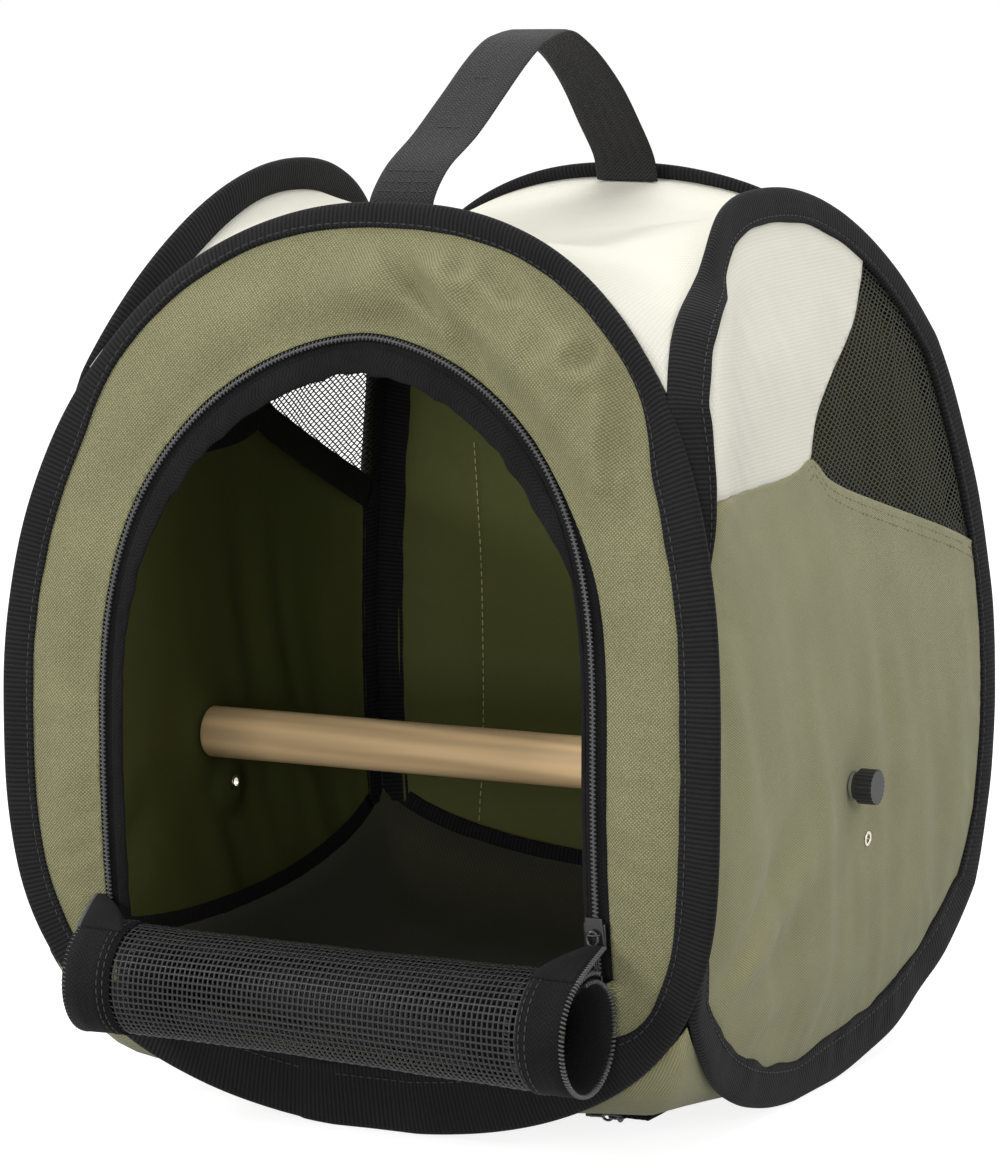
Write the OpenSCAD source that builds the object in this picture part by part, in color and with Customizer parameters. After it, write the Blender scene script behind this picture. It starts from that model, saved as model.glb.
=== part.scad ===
// Pop-up travel carrier for small birds. Four oval spring hoops carry fabric walls that bulge like barrel
// staves. The front wall has an arched doorway whose mesh flap is rolled down in front of its sill.
// The cabin's centre line is at x = 0, y = cabin_y. The hoops stand on z = 0, and the front faces -Y.

/* [Hoops] */
// Width of the front hoop over its binding
hoop_w = 277; // [265:1:290]
// Height of every hoop over its binding
hoop_h = 320; // [300:1:340]
// Height at which the hoops are widest
wide_z = 144; // [130:1:160]
// Roundness of the hoops' upper half across its width
upper_p = 2.3; // [2:0.05:2.6]
// Roundness of the hoops' upper half up its height
upper_q = 2.23; // [2:0.05:2.5]
// Roundness of the hoops' lower half across its width
lower_p = 2.06; // [1.9:0.05:2.4]
// Roundness of the hoops' lower half down its height
lower_q = 3.4; // [2.8:0.05:3.8]
// How deep each hoop is cut flat where it stands
foot_cut = 0.5; // [0.3:0.1:0.8]
// Thickness of the flat spring wire
wire_t = 1.2; // [0.8:0.1:1.6]
// Width of the flat spring wire
wire_w = 3.5; // [2.5:0.1:4.5]

/* [Walls] */
// How far the front hoop stands out past each side wall's belly
corner_lap = 8.5; // [7:0.5:10]
// Radius of each wall's upright bulge
bend_r = 508; // [450:1:600]
// Height of the belly
belly_z = 128; // [115:1:145]
// Thickness of the wall fabric
fabric_t = 0.8; // [0.5:0.1:1]

/* [Binding] */
// Width of the folded binding tape
tape_w = 12; // [10:0.5:14]
// Thickness of the folded binding round the wire
tape_t = 4; // [3.4:0.1:5]
// Tape left outside the wire at the fold
fold_t = 1.4; // [1:0.1:2]
// Clearance between sewn layers
seam_gap = 0.3; // [0.2:0.05:0.4]
// Clearance of the wire in its channel
wire_gap = 0.05; // [0.02:0.01:0.1]

/* [Top and bottom] */
// How far below the rims the top panel is sewn at the middle of each hoop
top_inset = 6; // [4:0.5:9]
// Dip of the top panel at its centre
top_dip = 13; // [6:1:18]
// Height of the bottom cover at the middle of each hoop
cover_z = 7; // [6.5:0.5:9]
// Height of the floor lining's seam at the middle of each wall
lining_z = 44; // [38:1:50]
// Height of the floor lining's seam at the corners
lining_corner_z = 68; // [62:1:74]
// How sharply the floor pieces level out inside their seams
floor_level = 12; // [11:1:14]
// Width and depth of the floor board
board_w = 168; // [160:1:170]
// Thickness of the floor board
board_t = 3; // [2:0.5:4]
// Radius of the floor board's corners
board_r = 26; // [24:1:30]
// Width of the floor seam tape
seam_tape_w = 12; // [10:0.5:14]
// Thickness of the floor seam tape
seam_tape_t = 1.1; // [0.8:0.1:1.3]
// Half the length of each stretch of floor seam tape
seam_tape_half = 104; // [96:1:108]

/* [Doorway] */
// Width between the doorway's zip coils
door_w = 190; // [180:1:196]
// Sideways place of the doorway's centre line
door_x = -3; // [-5:0.5:5]
// Height of the doorway's sill
sill_z = 60; // [56:1:64]
// Height of the zip's ends above the sill
zip_rise = 5; // [5:0.5:8]
// Height at which the doorway's arch begins
spring_z = 130; // [120:1:138]
// Height of the arch's crown
crown_z = 275; // [265:1:280]
// Roundness of the arch across its width
arch_p = 1.7; // [1.6:0.05:2]
// Roundness of the arch up its height
arch_q = 3.1; // [2.6:0.05:3.4]
// Width of a zip coil
coil_w = 4.4; // [4:0.1:5]
// Thickness of a zip coil
coil_t = 1.9; // [1.5:0.1:2.2]
// Zip tape inside the coil
tape_in = 6; // [5:0.5:7]
// Zip tape outside the coil, behind the panel
tape_out = 8; // [7:0.5:10]
// Thickness of the zip tape
zip_tape_t = 0.6; // [0.4:0.1:0.8]

/* [Rolled flap] */
// Outer radius of the rolled flap
roll_r = 17.5; // [16:0.5:19]
// Height of the roll's centre
roll_z = 49; // [46:1:52]
// Thickness of the mesh
mesh_t = 1; // [0.8:0.1:1.2]
// Spacing of the roll's turns
roll_pitch = 3; // [2.6:0.1:3.6]
// Width of the tape along the flap's edges
flap_tape_w = 17; // [14:1:20]
// Thickness of the tape along the flap's edges
flap_tape_t = 1.8; // [1.6:0.1:2]
// How far the flap's hem lies under the tapes at its ends
hem_lap = 4; // [3:0.5:6]
// Width of the flap's narrow inner turn
roll_core_w = 150; // [130:1:160]

/* [Side walls] */
// Height of the hem at the front of each side wall
hem_front_z = 225; // [218:1:232]
// Depth position of the point where cream, mesh and olive meet
meet_y = -20; // [-26:1:-14]
// Height of the point where cream, mesh and olive meet
meet_z = 230; // [224:1:236]
// Length over which the hem rises to that point
hem_lead = 30; // [24:1:36]
// Height of the mesh window's hem at the rear of each side wall
hem_rear_z = 179; // [172:1:186]
// Depth position of the top end of the seam between cream and mesh
cream_top_y = 78; // [70:1:86]
// Height of the top end of the seam between cream and mesh
cream_top_z = 294; // [288:1:300]
// Width of the hem tape inside the mesh window
hem_tape_w = 12; // [10:0.5:14]
// Spacing of the gaps drawn in the mesh window
net_pitch = 7.4; // [7.2:0.2:9]
// Width of the strands drawn in the mesh window
net_strand = 1.6; // [1.2:0.1:2]

/* [Perch] */
// Diameter of the perch dowel
perch_d = 19; // [18:0.5:20]
// Height of the perch's axis
perch_z = 112; // [106:1:118]
// Depth position of the perch's axis
perch_y = -2; // [-6:1:4]
// Diameter of the bolt in each end of the perch
bolt_d = 3; // [2.8:0.1:3.4]
// Length of bolt inside the wood
bolt_in = 22; // [16:1:28]
// Diameter of the knobs
knob_d = 12.5; // [11:0.5:14]
// Length of the knobs
knob_len = 8; // [7:0.5:9]
// Diameter of the washers behind the knobs
washer_d = 10; // [9:0.5:11]
// Thickness of the washers behind the knobs
washer_t = 1; // [0.8:0.1:1.4]
// Running clearance between bolt and knob
thread_gap = 0.05; // [0.02:0.01:0.09]

/* [Eyelets] */
// Outer diameter of the eyelets' flanges
eyelet_d = 5.4; // [5:0.1:6]
// Diameter of the holes through the eyelets
eyelet_hole = 3.2; // [3.1:0.1:3.6]
// Diameter of the eyelets' barrels
eyelet_barrel = 4.2; // [4:0.1:4.6]
// Thickness of the eyelets' flanges
flange_t = 0.4; // [0.3:0.1:0.6]
// Depth position of the spare eyelets
spare_y = 14; // [11:1:18]
// Height of the spare eyelets
spare_z = 90; // [86:1:93]

/* [Handle] */
// Width of the handle webbing
webbing_w = 25; // [20:1:30]
// Thickness of the handle webbing
webbing_t = 1.8; // [1.4:0.1:2.2]
// Height of the handle's crown above the hoops
handle_rise = 52; // [45:1:58]
// How far behind the cabin's centre line the crown lies
crown_back = 12; // [0:1:20]
// Fullness of the handle's bow in front of its crown
front_bow_p = 1.6; // [1.5:0.1:2]
// Fullness of the handle's bow behind its crown
rear_bow_p = 2; // [1.6:0.1:2.2]
// Height of the handle's bending line above the rims
hinge_rise = 5; // [4:0.5:8]
// Slope of the notch at the bending line in degrees
notch_slope = 26; // [24:1:30]

/* [Floor zip] */
// Length of the floor zip
floor_zip_len = 160; // [140:2:170]
// Width of the floor zip's tape
floor_zip_w = 26; // [22:1:30]
// Distance of the floor zip in front of the cabin's centre line
floor_zip_front = 72; // [66:1:78]
// Length of the tabs that end the floor zip
end_tab_len = 10; // [8:1:12]

/* [Zip sliders] */
// Length of a slider
slider_len = 11; // [9:0.5:13]
// Width of a slider
slider_w = 8.4; // [8:0.2:9]
// Thickness of a slider's plate in front of the coil
slider_t = 0.9; // [0.8:0.1:1.1]
// Width of a pull tab
pull_w = 5; // [4:0.5:6]
// Length of a pull tab
pull_len = 13; // [11:0.5:13]
// Thickness of a pull tab
pull_t = 0.9; // [0.7:0.1:1]
// Diameter of a pull tab's pivot
pivot_d = 1.4; // [1.2:0.1:1.6]
// Height of the door slider's middle above the sill
door_slider_rise = 21; // [20:1:26]

/* [Hidden] */

olive = "#8a865f";
cream = "#eceadd";
black = "#2a2a2b";
steel = "#8d9094";
wood = "#d9b183";

bend_fn = 256;
round_fn = 48;
hoop_steps = 96;
arch_steps = 40;
panel_steps = 20;
solve_steps = 30;
cut = 1;
reach_past = 12;
// The walls' bellies and the two distances from the centre line that the walls lie between
wall_reach = hoop_w / 2 - corner_lap;
wall_far = wall_reach + reach_past;
wall_near = 60;

// Walls: distance of a wall's middle surface from the centre line at height z, and its lean there
function wall_at(z) = wall_reach - bend_r + sqrt(bend_r * bend_r - pow(z - belly_z, 2));
function wall_lean(z) = asin((z - belly_z) / bend_r);
// Inner and outer face of the bindings at height z
function band_inner(z) = wall_at(z) - tape_t / 2;
function seam_limit(z) = band_inner(z) - seam_gap;

// Rims: a hoop's outline has an upper and a lower half, each a rounded oval
function signed_pow(v, e) = sign(v) * pow(abs(v), e);
function half_h(up) = up ? hoop_h - wide_z : wide_z + foot_cut;
function rim_p(up) = up ? upper_p : lower_p;
function rim_q(up) = up ? upper_q : lower_q;
function rim_half_w(z) =
    let (up = z >= wide_z)
    hoop_w / 2 * pow(1 - pow(abs(z - wide_z) / half_h(up), rim_q(up)), 1 / rim_p(up));
function rim_low_z(x) = wide_z - half_h(false) * pow(1 - pow(abs(x) / hoop_w * 2, lower_p), 1 / lower_q);
function rim_top_z(x) = wide_z + half_h(true) * pow(1 - pow(abs(x) / hoop_w * 2, upper_p), 1 / upper_q);
function rim_raw(a) =
    let (up = sin(a) >= 0)
    [hoop_w / 2 * signed_pow(cos(a), 2 / rim_p(up)),
     wide_z + half_h(up) * signed_pow(sin(a), 2 / rim_q(up))];
// The side and rear hoops are tucked in between the walls beside them.
function rim_at(a, tucked) =
    let (p = rim_raw(a), z = max(0, p.y), lim = tucked ? seam_limit(z) : hoop_w)
    [max(-lim, min(lim, p.x)), z];
function rim_inset(a, tucked, inset) =
    let (d = rim_at(a + 1, tucked) - rim_at(a - 1, tucked), n = d / norm(d), p = rim_at(a, tucked))
    [p.x - n.y * inset, p.y + n.x * inset];
function rim(tucked, inset) = [for (i = [0:hoop_steps - 1]) rim_inset(i * 360 / hoop_steps, tucked, inset)];

// Corners: the height at which the front rim crosses the side wall, above and below the belly
function cross_z(inside, outside, n) =
    let (m = (inside + outside) / 2)
    n == 0 ? m : rim_half_w(m) > seam_limit(m) ? cross_z(m, outside, n - 1) : cross_z(inside, m, n - 1);
top_corner_z = cross_z(wide_z, hoop_h, solve_steps);
low_corner_z = cross_z(wide_z, 0, solve_steps);
top_corner_x = seam_limit(top_corner_z);
low_corner_x = seam_limit(low_corner_z);
lining_corner_x = seam_limit(lining_corner_z);

door_half = door_w / 2;
door_rise = crown_z - spring_z;
slot_t = wire_t + 2 * wire_gap;
panel_edge = fold_t + wire_w + 2 * wire_gap + seam_gap;
// Depths of the door's zip, measured outwards from the wall's middle surface
zip_tape_out = -fabric_t / 2;
zip_tape_in = zip_tape_out - zip_tape_t;
coil_out = zip_tape_out + coil_t;
// The roll hangs just in front of the front hoop's binding.
roll_y = -(wall_at(roll_z) + tape_t / 2 + roll_r + seam_gap);
sill_y = -(wall_at(sill_z) + fabric_t / 2);
roll_reach = roll_r - roll_y;
cabin_y = (roll_reach - wall_reach - tape_t / 2) / 2;
eyelet_out = fabric_t / 2 + seam_gap / 2 + flange_t;
wall_out_x = wall_at(perch_z) + eyelet_out + seam_gap;
wall_in_x = wall_at(perch_z) - eyelet_out - seam_gap;
hinge_z = hoop_h + hinge_rise;
board_z = cover_z + fabric_t + seam_gap;
lining_low_z = board_z + board_t + seam_gap;
floor_tape_z = cover_z - zip_tape_t;
floor_coil_z = floor_tape_z - coil_t;
floor_slider_x = floor_zip_len / 2 - slider_len / 2 - cut;
door_slider_z = sill_z + door_slider_rise;

module cabin() {
    translate([0, cabin_y, 0]) children();
}

// A wall's slab lies between two distances outwards from its middle surface. Its outline is drawn in 2D as
// seen from the front, and the slab of the front wall is turned to the other walls.
module slab(inner, outer) {
    intersection() {
        translate([0, bend_r - wall_reach, belly_z]) rotate([0, 90, 0]) difference() {
            cylinder(r = bend_r + outer, h = 2 * hoop_w, center = true, $fn = bend_fn);
            cylinder(r = bend_r + inner, h = 3 * hoop_w, center = true, $fn = bend_fn);
        }
        translate([0, -wall_near, 0]) rotate([90, 0, 0])
            linear_extrude(height = wall_far - wall_near) children();
    }
}

module hoop_wire(tucked) {
    color(steel) slab(-wire_t / 2, wire_t / 2) difference() {
        polygon(rim(tucked, fold_t + wire_gap));
        polygon(rim(tucked, fold_t + wire_gap + wire_w));
    }
}

module binding(tucked) {
    color(black) difference() {
        slab(-tape_t / 2, tape_t / 2) difference() {
            polygon(rim(tucked, 0));
            polygon(rim(tucked, tape_w));
        }
        slab(-slot_t / 2, slot_t / 2) difference() {
            polygon(rim(tucked, fold_t));
            polygon(rim(tucked, tape_w + cut));
        }
    }
}

module panel_area(tucked) {
    polygon(rim(tucked, panel_edge));
}

// Doorway: straight sides and a rounded arch, grown outwards by g
function arch_point(a, g) =
    [(door_half + g) * signed_pow(cos(a), 2 / arch_p), spring_z + (door_rise + g) * pow(abs(sin(a)), 2 / arch_q)];
module doorway(g, low) {
    translate([door_x, 0])
        polygon(concat([[door_half + g, low]],
                       [for (i = [0:arch_steps]) arch_point(i * 180 / arch_steps, g)],
                       [[-door_half - g, low]]));
}

module front_panel() {
    color(olive) cabin() slab(-fabric_t / 2, fabric_t / 2) difference() {
        panel_area(false);
        doorway(coil_w / 2 + seam_gap, sill_z);
    }
}

module door_zip_tape() {
    color(black) cabin() slab(zip_tape_in, zip_tape_out) difference() {
        doorway(tape_out, sill_z + zip_rise);
        doorway(-tape_in, sill_z);
    }
}

module door_zip_coil() {
    color(black) cabin() slab(zip_tape_out, coil_out) difference() {
        doorway(coil_w / 2, sill_z + zip_rise);
        doorway(-coil_w / 2, sill_z);
    }
}

module rear_panel() {
    color(olive) cabin() rotate([0, 0, 180]) slab(-fabric_t / 2, fabric_t / 2) panel_area(true);
}

// The right side wall is the front wall turned by 90 degrees, so u in its outline is the depth position.
module side_wall(side) {
    scale([side, 1, 1]) rotate([0, 0, 90]) children();
}

// The hem falls from the meeting point to the rear, steeply at first, and the seam between cream and mesh
// rises from it. Their bends are placed by shares of the way to each line's end.
function on_hem(k, drop) = [meet_y + k * (wall_far - meet_y), meet_z - drop * (meet_z - hem_rear_z)];
function on_seam(k, rise) = [meet_y + k * (cream_top_y - meet_y), meet_z + rise * (cream_top_z - meet_z)];
hem_line = [[-wall_far, hem_front_z], [meet_y - hem_lead, hem_front_z], [meet_y, meet_z],
            on_hem(0.17, 0.31), on_hem(1, 1.08)];
cream_line = [[meet_y, meet_z], on_seam(0.2, 0.28), on_seam(0.43, 0.48), on_seam(0.69, 0.67),
              [cream_top_y, cream_top_z], on_seam(1.2, 1.4)];
below_hem = concat(hem_line, [[wall_far, -cut], [-wall_far, -cut]]);
above_front = concat([for (i = [0:2]) hem_line[i]], [for (i = [1:5]) cream_line[i]], [[-wall_far, hoop_h]]);
above_rear = concat([for (i = [5:-1:1]) cream_line[i]], [for (i = [2:4]) hem_line[i]], [[wall_far, hoop_h]]);

module lower_panel(side) {
    color(olive) cabin() side_wall(side) slab(-fabric_t / 2, fabric_t / 2) difference() {
        intersection() {
            panel_area(true);
            polygon(below_hem);
        }
        translate([perch_y, perch_z]) circle(d = eyelet_barrel + seam_gap, $fn = round_fn);
        translate([spare_y, spare_z]) circle(d = eyelet_barrel + seam_gap, $fn = round_fn);
    }
}

module upper_panel(side) {
    color(cream) cabin() side_wall(side) slab(-fabric_t / 2, fabric_t / 2) intersection() {
        panel_area(true);
        polygon(above_front);
    }
}

// The net's gaps are squares on their corners that lie wholly inside the window.
net_gap = net_pitch - net_strand;
net_reach = 18;
function net_at(i, j) = [meet_y + (i - j) * net_pitch * sqrt(0.5), hem_rear_z + (i + j) * net_pitch * sqrt(0.5)];
function net_inside(p) =
    let (room = net_gap * sqrt(0.5) + net_strand, edge = tape_w + room)
    p.y > lookup(p.x, hem_line) + room
    && p.x > lookup(p.y, [for (q = cream_line) [q.y, q.x]]) + room
    && p.x < seam_limit(p.y) - edge
    && pow(abs(p.x) / (hoop_w / 2 - edge), upper_p) + pow((p.y - wide_z) / (hoop_h - wide_z - edge), upper_q) < 1;
module net_gaps() {
    for (i = [0:net_reach], j = [-net_reach:net_reach])
        if (net_inside(net_at(i, j))) translate(net_at(i, j)) rotate(45) square(net_gap, center = true);
}

module mesh_window(side) {
    color(black) cabin() side_wall(side) slab(-fabric_t / 2, fabric_t / 2) difference() {
        intersection() {
            panel_area(true);
            polygon(above_rear);
        }
        net_gaps();
    }
}

// The tape inside the mesh window covers the hem's raw edge.
hem_tape_gap = 0.1;
module hem_tape(side) {
    half = hem_tape_w / 2;
    color(black) cabin() side_wall(side)
        slab(-fabric_t / 2 - hem_tape_gap - seam_tape_t, -fabric_t / 2 - hem_tape_gap) intersection() {
            polygon(rim(true, tape_w + seam_gap));
            polygon(concat([for (i = [2:4]) hem_line[i] + [0, half]], [for (i = [4:-1:2]) hem_line[i] - [0, half]]));
        }
}

// Sewn sheets span the four walls. A sheet is [corner_x, corner_z, mid_z, dip, level, dish, up]: its edges
// follow the rims' upper or lower arcs from corner_z to mid_z, and it dips by dip at its centre.
function arc_z(x, up) = up ? rim_top_z(x) : rim_low_z(x);
function share(s, sheet) =
    let (edge = arc_z(sheet[0], sheet[6]))
    (arc_z(s * sheet[0], sheet[6]) - edge) / (arc_z(0, sheet[6]) - edge);
function edge_z(s, sheet) = sheet[1] + (sheet[2] - sheet[1]) * share(s, sheet);
function dished(s, sheet) = 1 - pow(1 - share(s, sheet), sheet[5]);
function sheet_z(s, t, sheet) =
    sheet[2] + (sheet[1] - sheet[2]) * (1 - share(s, sheet)) * (1 - share(t, sheet))
             * pow(max(abs(s), abs(t)), sheet[4])
             - sheet[3] * dished(s, sheet) * dished(t, sheet);
function sheet_point(s, t, sheet, lift) =
    [s * seam_limit(edge_z(t, sheet)), t * seam_limit(edge_z(s, sheet)), sheet_z(s, t, sheet) + lift];

top_sheet = [top_corner_x, top_corner_z, hoop_h - top_inset, top_dip, 0, 1, true];
cover_sheet = [low_corner_x, low_corner_z, cover_z, 0, floor_level, 1, false];
lining_sheet = [lining_corner_x, lining_corner_z, lining_z, lining_z - lining_low_z, floor_level, 2, false];

function grid_index(i, j, layer) = (layer * (panel_steps + 1) + i) * (panel_steps + 1) + j;
module sewn_sheet(sheet) {
    n = panel_steps;
    at = [for (i = [0:n]) 2 * i / n - 1];
    points = [for (lift = [0, fabric_t], i = [0:n], j = [0:n]) sheet_point(at[i], at[j], sheet, lift)];
    function quad(a, b, c, d) = [[a, b, c], [a, c, d]];
    lower = [for (i = [0:n - 1], j = [0:n - 1])
        each quad(grid_index(i, j, 0), grid_index(i + 1, j, 0), grid_index(i + 1, j + 1, 0), grid_index(i, j + 1, 0))];
    upper = [for (i = [0:n - 1], j = [0:n - 1])
        each quad(grid_index(i, j, 1), grid_index(i, j + 1, 1), grid_index(i + 1, j + 1, 1), grid_index(i + 1, j, 1))];
    sides = [for (k = [0:n - 1]) each concat(
        quad(grid_index(0, k, 0), grid_index(0, k + 1, 0), grid_index(0, k + 1, 1), grid_index(0, k, 1)),
        quad(grid_index(n, k + 1, 0), grid_index(n, k, 0), grid_index(n, k, 1), grid_index(n, k + 1, 1)),
        quad(grid_index(k + 1, 0, 0), grid_index(k, 0, 0), grid_index(k, 0, 1), grid_index(k + 1, 0, 1)),
        quad(grid_index(k, n, 0), grid_index(k + 1, n, 0), grid_index(k + 1, n, 1), grid_index(k, n, 1)))];
    polyhedron(points, concat(lower, upper, sides), convexity = 6);
}

module top_panel() {
    color(cream) cabin() sewn_sheet(top_sheet);
}

module bottom_cover() {
    color(olive) cabin() sewn_sheet(cover_sheet);
}

module floor_lining() {
    color(olive) cabin() sewn_sheet(lining_sheet);
}

module floor_board() {
    color(wood) cabin() translate([0, 0, board_z]) linear_extrude(height = board_t) union() {
        square([board_w, board_w - 2 * board_r], center = true);
        square([board_w - 2 * board_r, board_w], center = true);
        for (x = [-1, 1], y = [-1, 1]) translate([x, y] * (board_w / 2 - board_r)) circle(r = board_r, $fn = round_fn);
    }
}

// The tape follows the lining's edge along each wall.
module floor_seam_tape() {
    n = panel_steps;
    us = [for (i = [0:n]) (2 * i / n - 1) * seam_tape_half];
    half = seam_tape_w / 2;
    color(black) cabin() for (turn = [0:90:270]) rotate([0, 0, turn])
        slab(-fabric_t / 2 - seam_tape_t, -fabric_t / 2)
            polygon(concat([for (u = us) [u, edge_z(u / lining_corner_x, lining_sheet) + half]],
                           [for (i = [n:-1:0]) [us[i], edge_z(us[i] / lining_corner_x, lining_sheet) - half]]));
}

// The floor zip runs across under the bottom cover.
module under_cover(z) {
    cabin() translate([0, -floor_zip_front, z]) children();
}

module block(x, y, z) {
    translate([-x / 2, -y / 2, 0]) cube([x, y, z]);
}

module floor_zip_tape() {
    color(black) under_cover(floor_tape_z) block(floor_zip_len, floor_zip_w, zip_tape_t);
}

module floor_zip_coil() {
    color(black) under_cover(floor_coil_z) block(floor_zip_len, coil_w, coil_t);
}

module floor_zip_tabs() {
    color(black) for (side = [-1, 1]) under_cover(floor_tape_z)
        translate([side * (floor_zip_len + end_tab_len) / 2, 0, 0]) block(end_tab_len, floor_zip_w, zip_tape_t);
}

// Sliders: a cap over the coil with a bridge that holds the pull tab's pivot. The coil lies along X under
// z = 0, the cap is above it, and the pivot is across it.
slider_gap = 0.15;
bridge_h = pivot_d + pull_t;
bridge_w = pull_w + 2.4;
module slider() {
    depth = coil_t - fabric_t - slider_gap;
    difference() {
        translate([0, 0, -depth]) block(slider_len, slider_w, depth + slider_gap + slider_t);
        translate([0, 0, -depth - cut]) block(2 * slider_len, coil_w + 2 * slider_gap, depth + cut + slider_gap);
    }
    for (side = [-1, 1]) translate([0, side * (bridge_w - 1) / 2, slider_gap + slider_t]) difference() {
        block(2.6, 1, bridge_h);
        translate([0, 0, bridge_h / 2]) rotate([90, 0, 0])
            cylinder(d = pivot_d + 2 * wire_gap, h = 2, center = true, $fn = round_fn);
    }
}

pivot_out = slider_gap + slider_t + bridge_h / 2;
// The tab reaches down from its pivot at the origin along -X, in the plane of X and Y.
module pull_tab() {
    eye = pull_w / 2;
    rotate([90, 0, 0]) cylinder(d = pivot_d, h = bridge_w, center = true, $fn = round_fn);
    difference() {
        translate([-pull_len / 2, 0, -pull_t / 2]) block(pull_len, pull_w - 0.6, pull_t);
        translate([-pull_len + eye, 0, -pull_t]) cylinder(d = eye, h = 2 * pull_t, $fn = round_fn);
    }
}

module floor_slider_place() {
    under_cover(floor_coil_z) translate([floor_slider_x, 0, 0]) rotate([180, 0, 0]) children();
}

module floor_zip_slider() {
    color(steel) floor_slider_place() slider();
}

module floor_zip_pull() {
    color(steel) floor_slider_place() translate([0, 0, pivot_out]) pull_tab();
}

// A place on the front wall: the origin on the wall's middle surface, Z outwards, X across and Y up the wall
module on_wall(u, z, out) {
    translate([0, bend_r - wall_reach, belly_z]) rotate([-wall_lean(z), 0, 0])
        translate([u, -bend_r - out, 0]) rotate([90, 0, 0]) children();
}

door_slider_x = door_x + door_half;
module door_zip_slider() {
    color(steel) cabin() on_wall(door_slider_x, door_slider_z, coil_out) rotate([0, 0, 90]) slider();
}

// The door's pull tab hangs straight down from the slider's pivot.
pivot_lean = wall_lean(door_slider_z);
pivot_r = bend_r + coil_out + pivot_out;
pivot_y = bend_r - wall_reach - pivot_r * cos(pivot_lean);
pivot_z = belly_z + pivot_r * sin(pivot_lean);
module door_zip_pull() {
    color(steel) cabin() translate([door_slider_x, pivot_y, pivot_z]) rotate([90, 0, 0]) rotate([0, 0, 90]) pull_tab();
}

// Rolled flap: one sheet wound inwards from the top of the roll. Angles are counted from the rear over the
// top. The sheet is full width up to roll_narrow and narrower from there to its end.
roll_start = 68;
full_turns = 1.1;
all_turns = 2;
roll_narrow = roll_start + full_turns * 360;
roll_end = roll_start + all_turns * 360;
roll_step = 8;
edge_turn = 12;
coil_turn = 8;
tape_half = door_half + coil_w / 2 + seam_gap;
mesh_half = tape_half - flap_tape_w;
core_half = roll_core_w / 2;
function roll_radius(a) = roll_r - flap_tape_t / 2 - roll_pitch * (a - roll_start) / 360;
function roll_point(a, out) = (roll_radius(a) + out) * [cos(a), sin(a)];
module wound(from, to, t, x0, x1) {
    n = ceil((to - from) / roll_step);
    at = [for (i = [0:n]) from + (to - from) * i / n];
    translate([x0, roll_y, roll_z]) rotate([90, 0, 90]) linear_extrude(height = x1 - x0)
        polygon(concat([for (a = at) roll_point(a, t / 2)], [for (i = [n:-1:0]) roll_point(at[i], -t / 2)]));
}

module flap_mesh() {
    color(black) cabin() {
        wound(roll_start, roll_narrow, mesh_t, -mesh_half, mesh_half);
        wound(roll_narrow, roll_end, mesh_t, -core_half + flap_tape_w, core_half - flap_tape_w);
    }
}

// The tape follows the flap's edge: along the side, in to the narrower part and across its end.
module flap_tape() {
    color(black) cabin() {
        wound(roll_start, roll_narrow, flap_tape_t, mesh_half, tape_half);
        wound(roll_narrow, roll_narrow + edge_turn, flap_tape_t, core_half - flap_tape_w, tape_half);
        wound(roll_narrow + edge_turn, roll_end, flap_tape_t, core_half - flap_tape_w, core_half);
        wound(roll_end, roll_end + edge_turn, flap_tape_t, 0, core_half);
    }
}

module flap_left_tape() {
    scale([-1, 1, 1]) flap_tape();
}

module flap_right_tape() {
    flap_tape();
}

flap_coil_w = 2;
module flap_zip_coil() {
    color(black) cabin() for (side = [-1, 1]) scale([side, 1, 1]) {
        wound(roll_start, roll_narrow + edge_turn + coil_turn, mesh_t, tape_half, tape_half + flap_coil_w);
        wound(roll_narrow + edge_turn, roll_narrow + edge_turn + coil_turn, mesh_t, core_half, tape_half);
        wound(roll_narrow + edge_turn, roll_end + edge_turn, mesh_t, core_half, core_half + flap_coil_w);
        wound(roll_end + edge_turn, roll_end + edge_turn + coil_turn, mesh_t, 0, core_half + flap_coil_w);
    }
}

// The hem joins the sill to the start of the roll. Its round edge at the sill is the flap's bending line.
hem_half = mesh_half + hem_lap;
sill_axis_y = sill_y - seam_gap - mesh_t / 2;
sill_axis_z = sill_z;
module flap_hem() {
    first = [roll_y, roll_z] + roll_point(roll_start, 0);
    run = first - [sill_axis_y, sill_axis_z];
    across = mesh_t / 2 / norm(run) * [-run.y, run.x];
    color(black) cabin() translate([-hem_half, 0, 0]) rotate([90, 0, 90]) linear_extrude(height = 2 * hem_half) union() {
        translate([sill_axis_y, sill_axis_z]) circle(d = mesh_t, $fn = round_fn);
        polygon([[sill_axis_y, sill_axis_z] + across, [sill_axis_y, sill_axis_z] - across,
                 [roll_y, roll_z] + roll_point(roll_start, mesh_t / 2),
                 [roll_y, roll_z] + roll_point(roll_start, -mesh_t / 2)]);
    }
}

// Perch: the bolts are fixed in the dowel and reach through the walls' eyelets into the knobs.
module perch_axis(x) {
    cabin() translate([x, perch_y, perch_z]) rotate([0, 90, 0]) children();
}

knob_bolt = knob_len - 2;
bolt_out = wall_out_x + washer_t + knob_bolt - seam_gap;
module perch_dowel() {
    color(wood) difference() {
        perch_axis(-wall_in_x) cylinder(d = perch_d, h = 2 * wall_in_x, $fn = round_fn);
        perch_axis(-wall_in_x - cut) cylinder(d = bolt_d, h = bolt_in + cut, $fn = round_fn);
        perch_axis(wall_in_x - bolt_in) cylinder(d = bolt_d, h = bolt_in + cut, $fn = round_fn);
    }
}

module perch_bolts() {
    color(steel) for (x = [-bolt_out, wall_in_x - bolt_in])
        perch_axis(x) cylinder(d = bolt_d, h = bolt_out - wall_in_x + bolt_in, $fn = round_fn);
}

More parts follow.
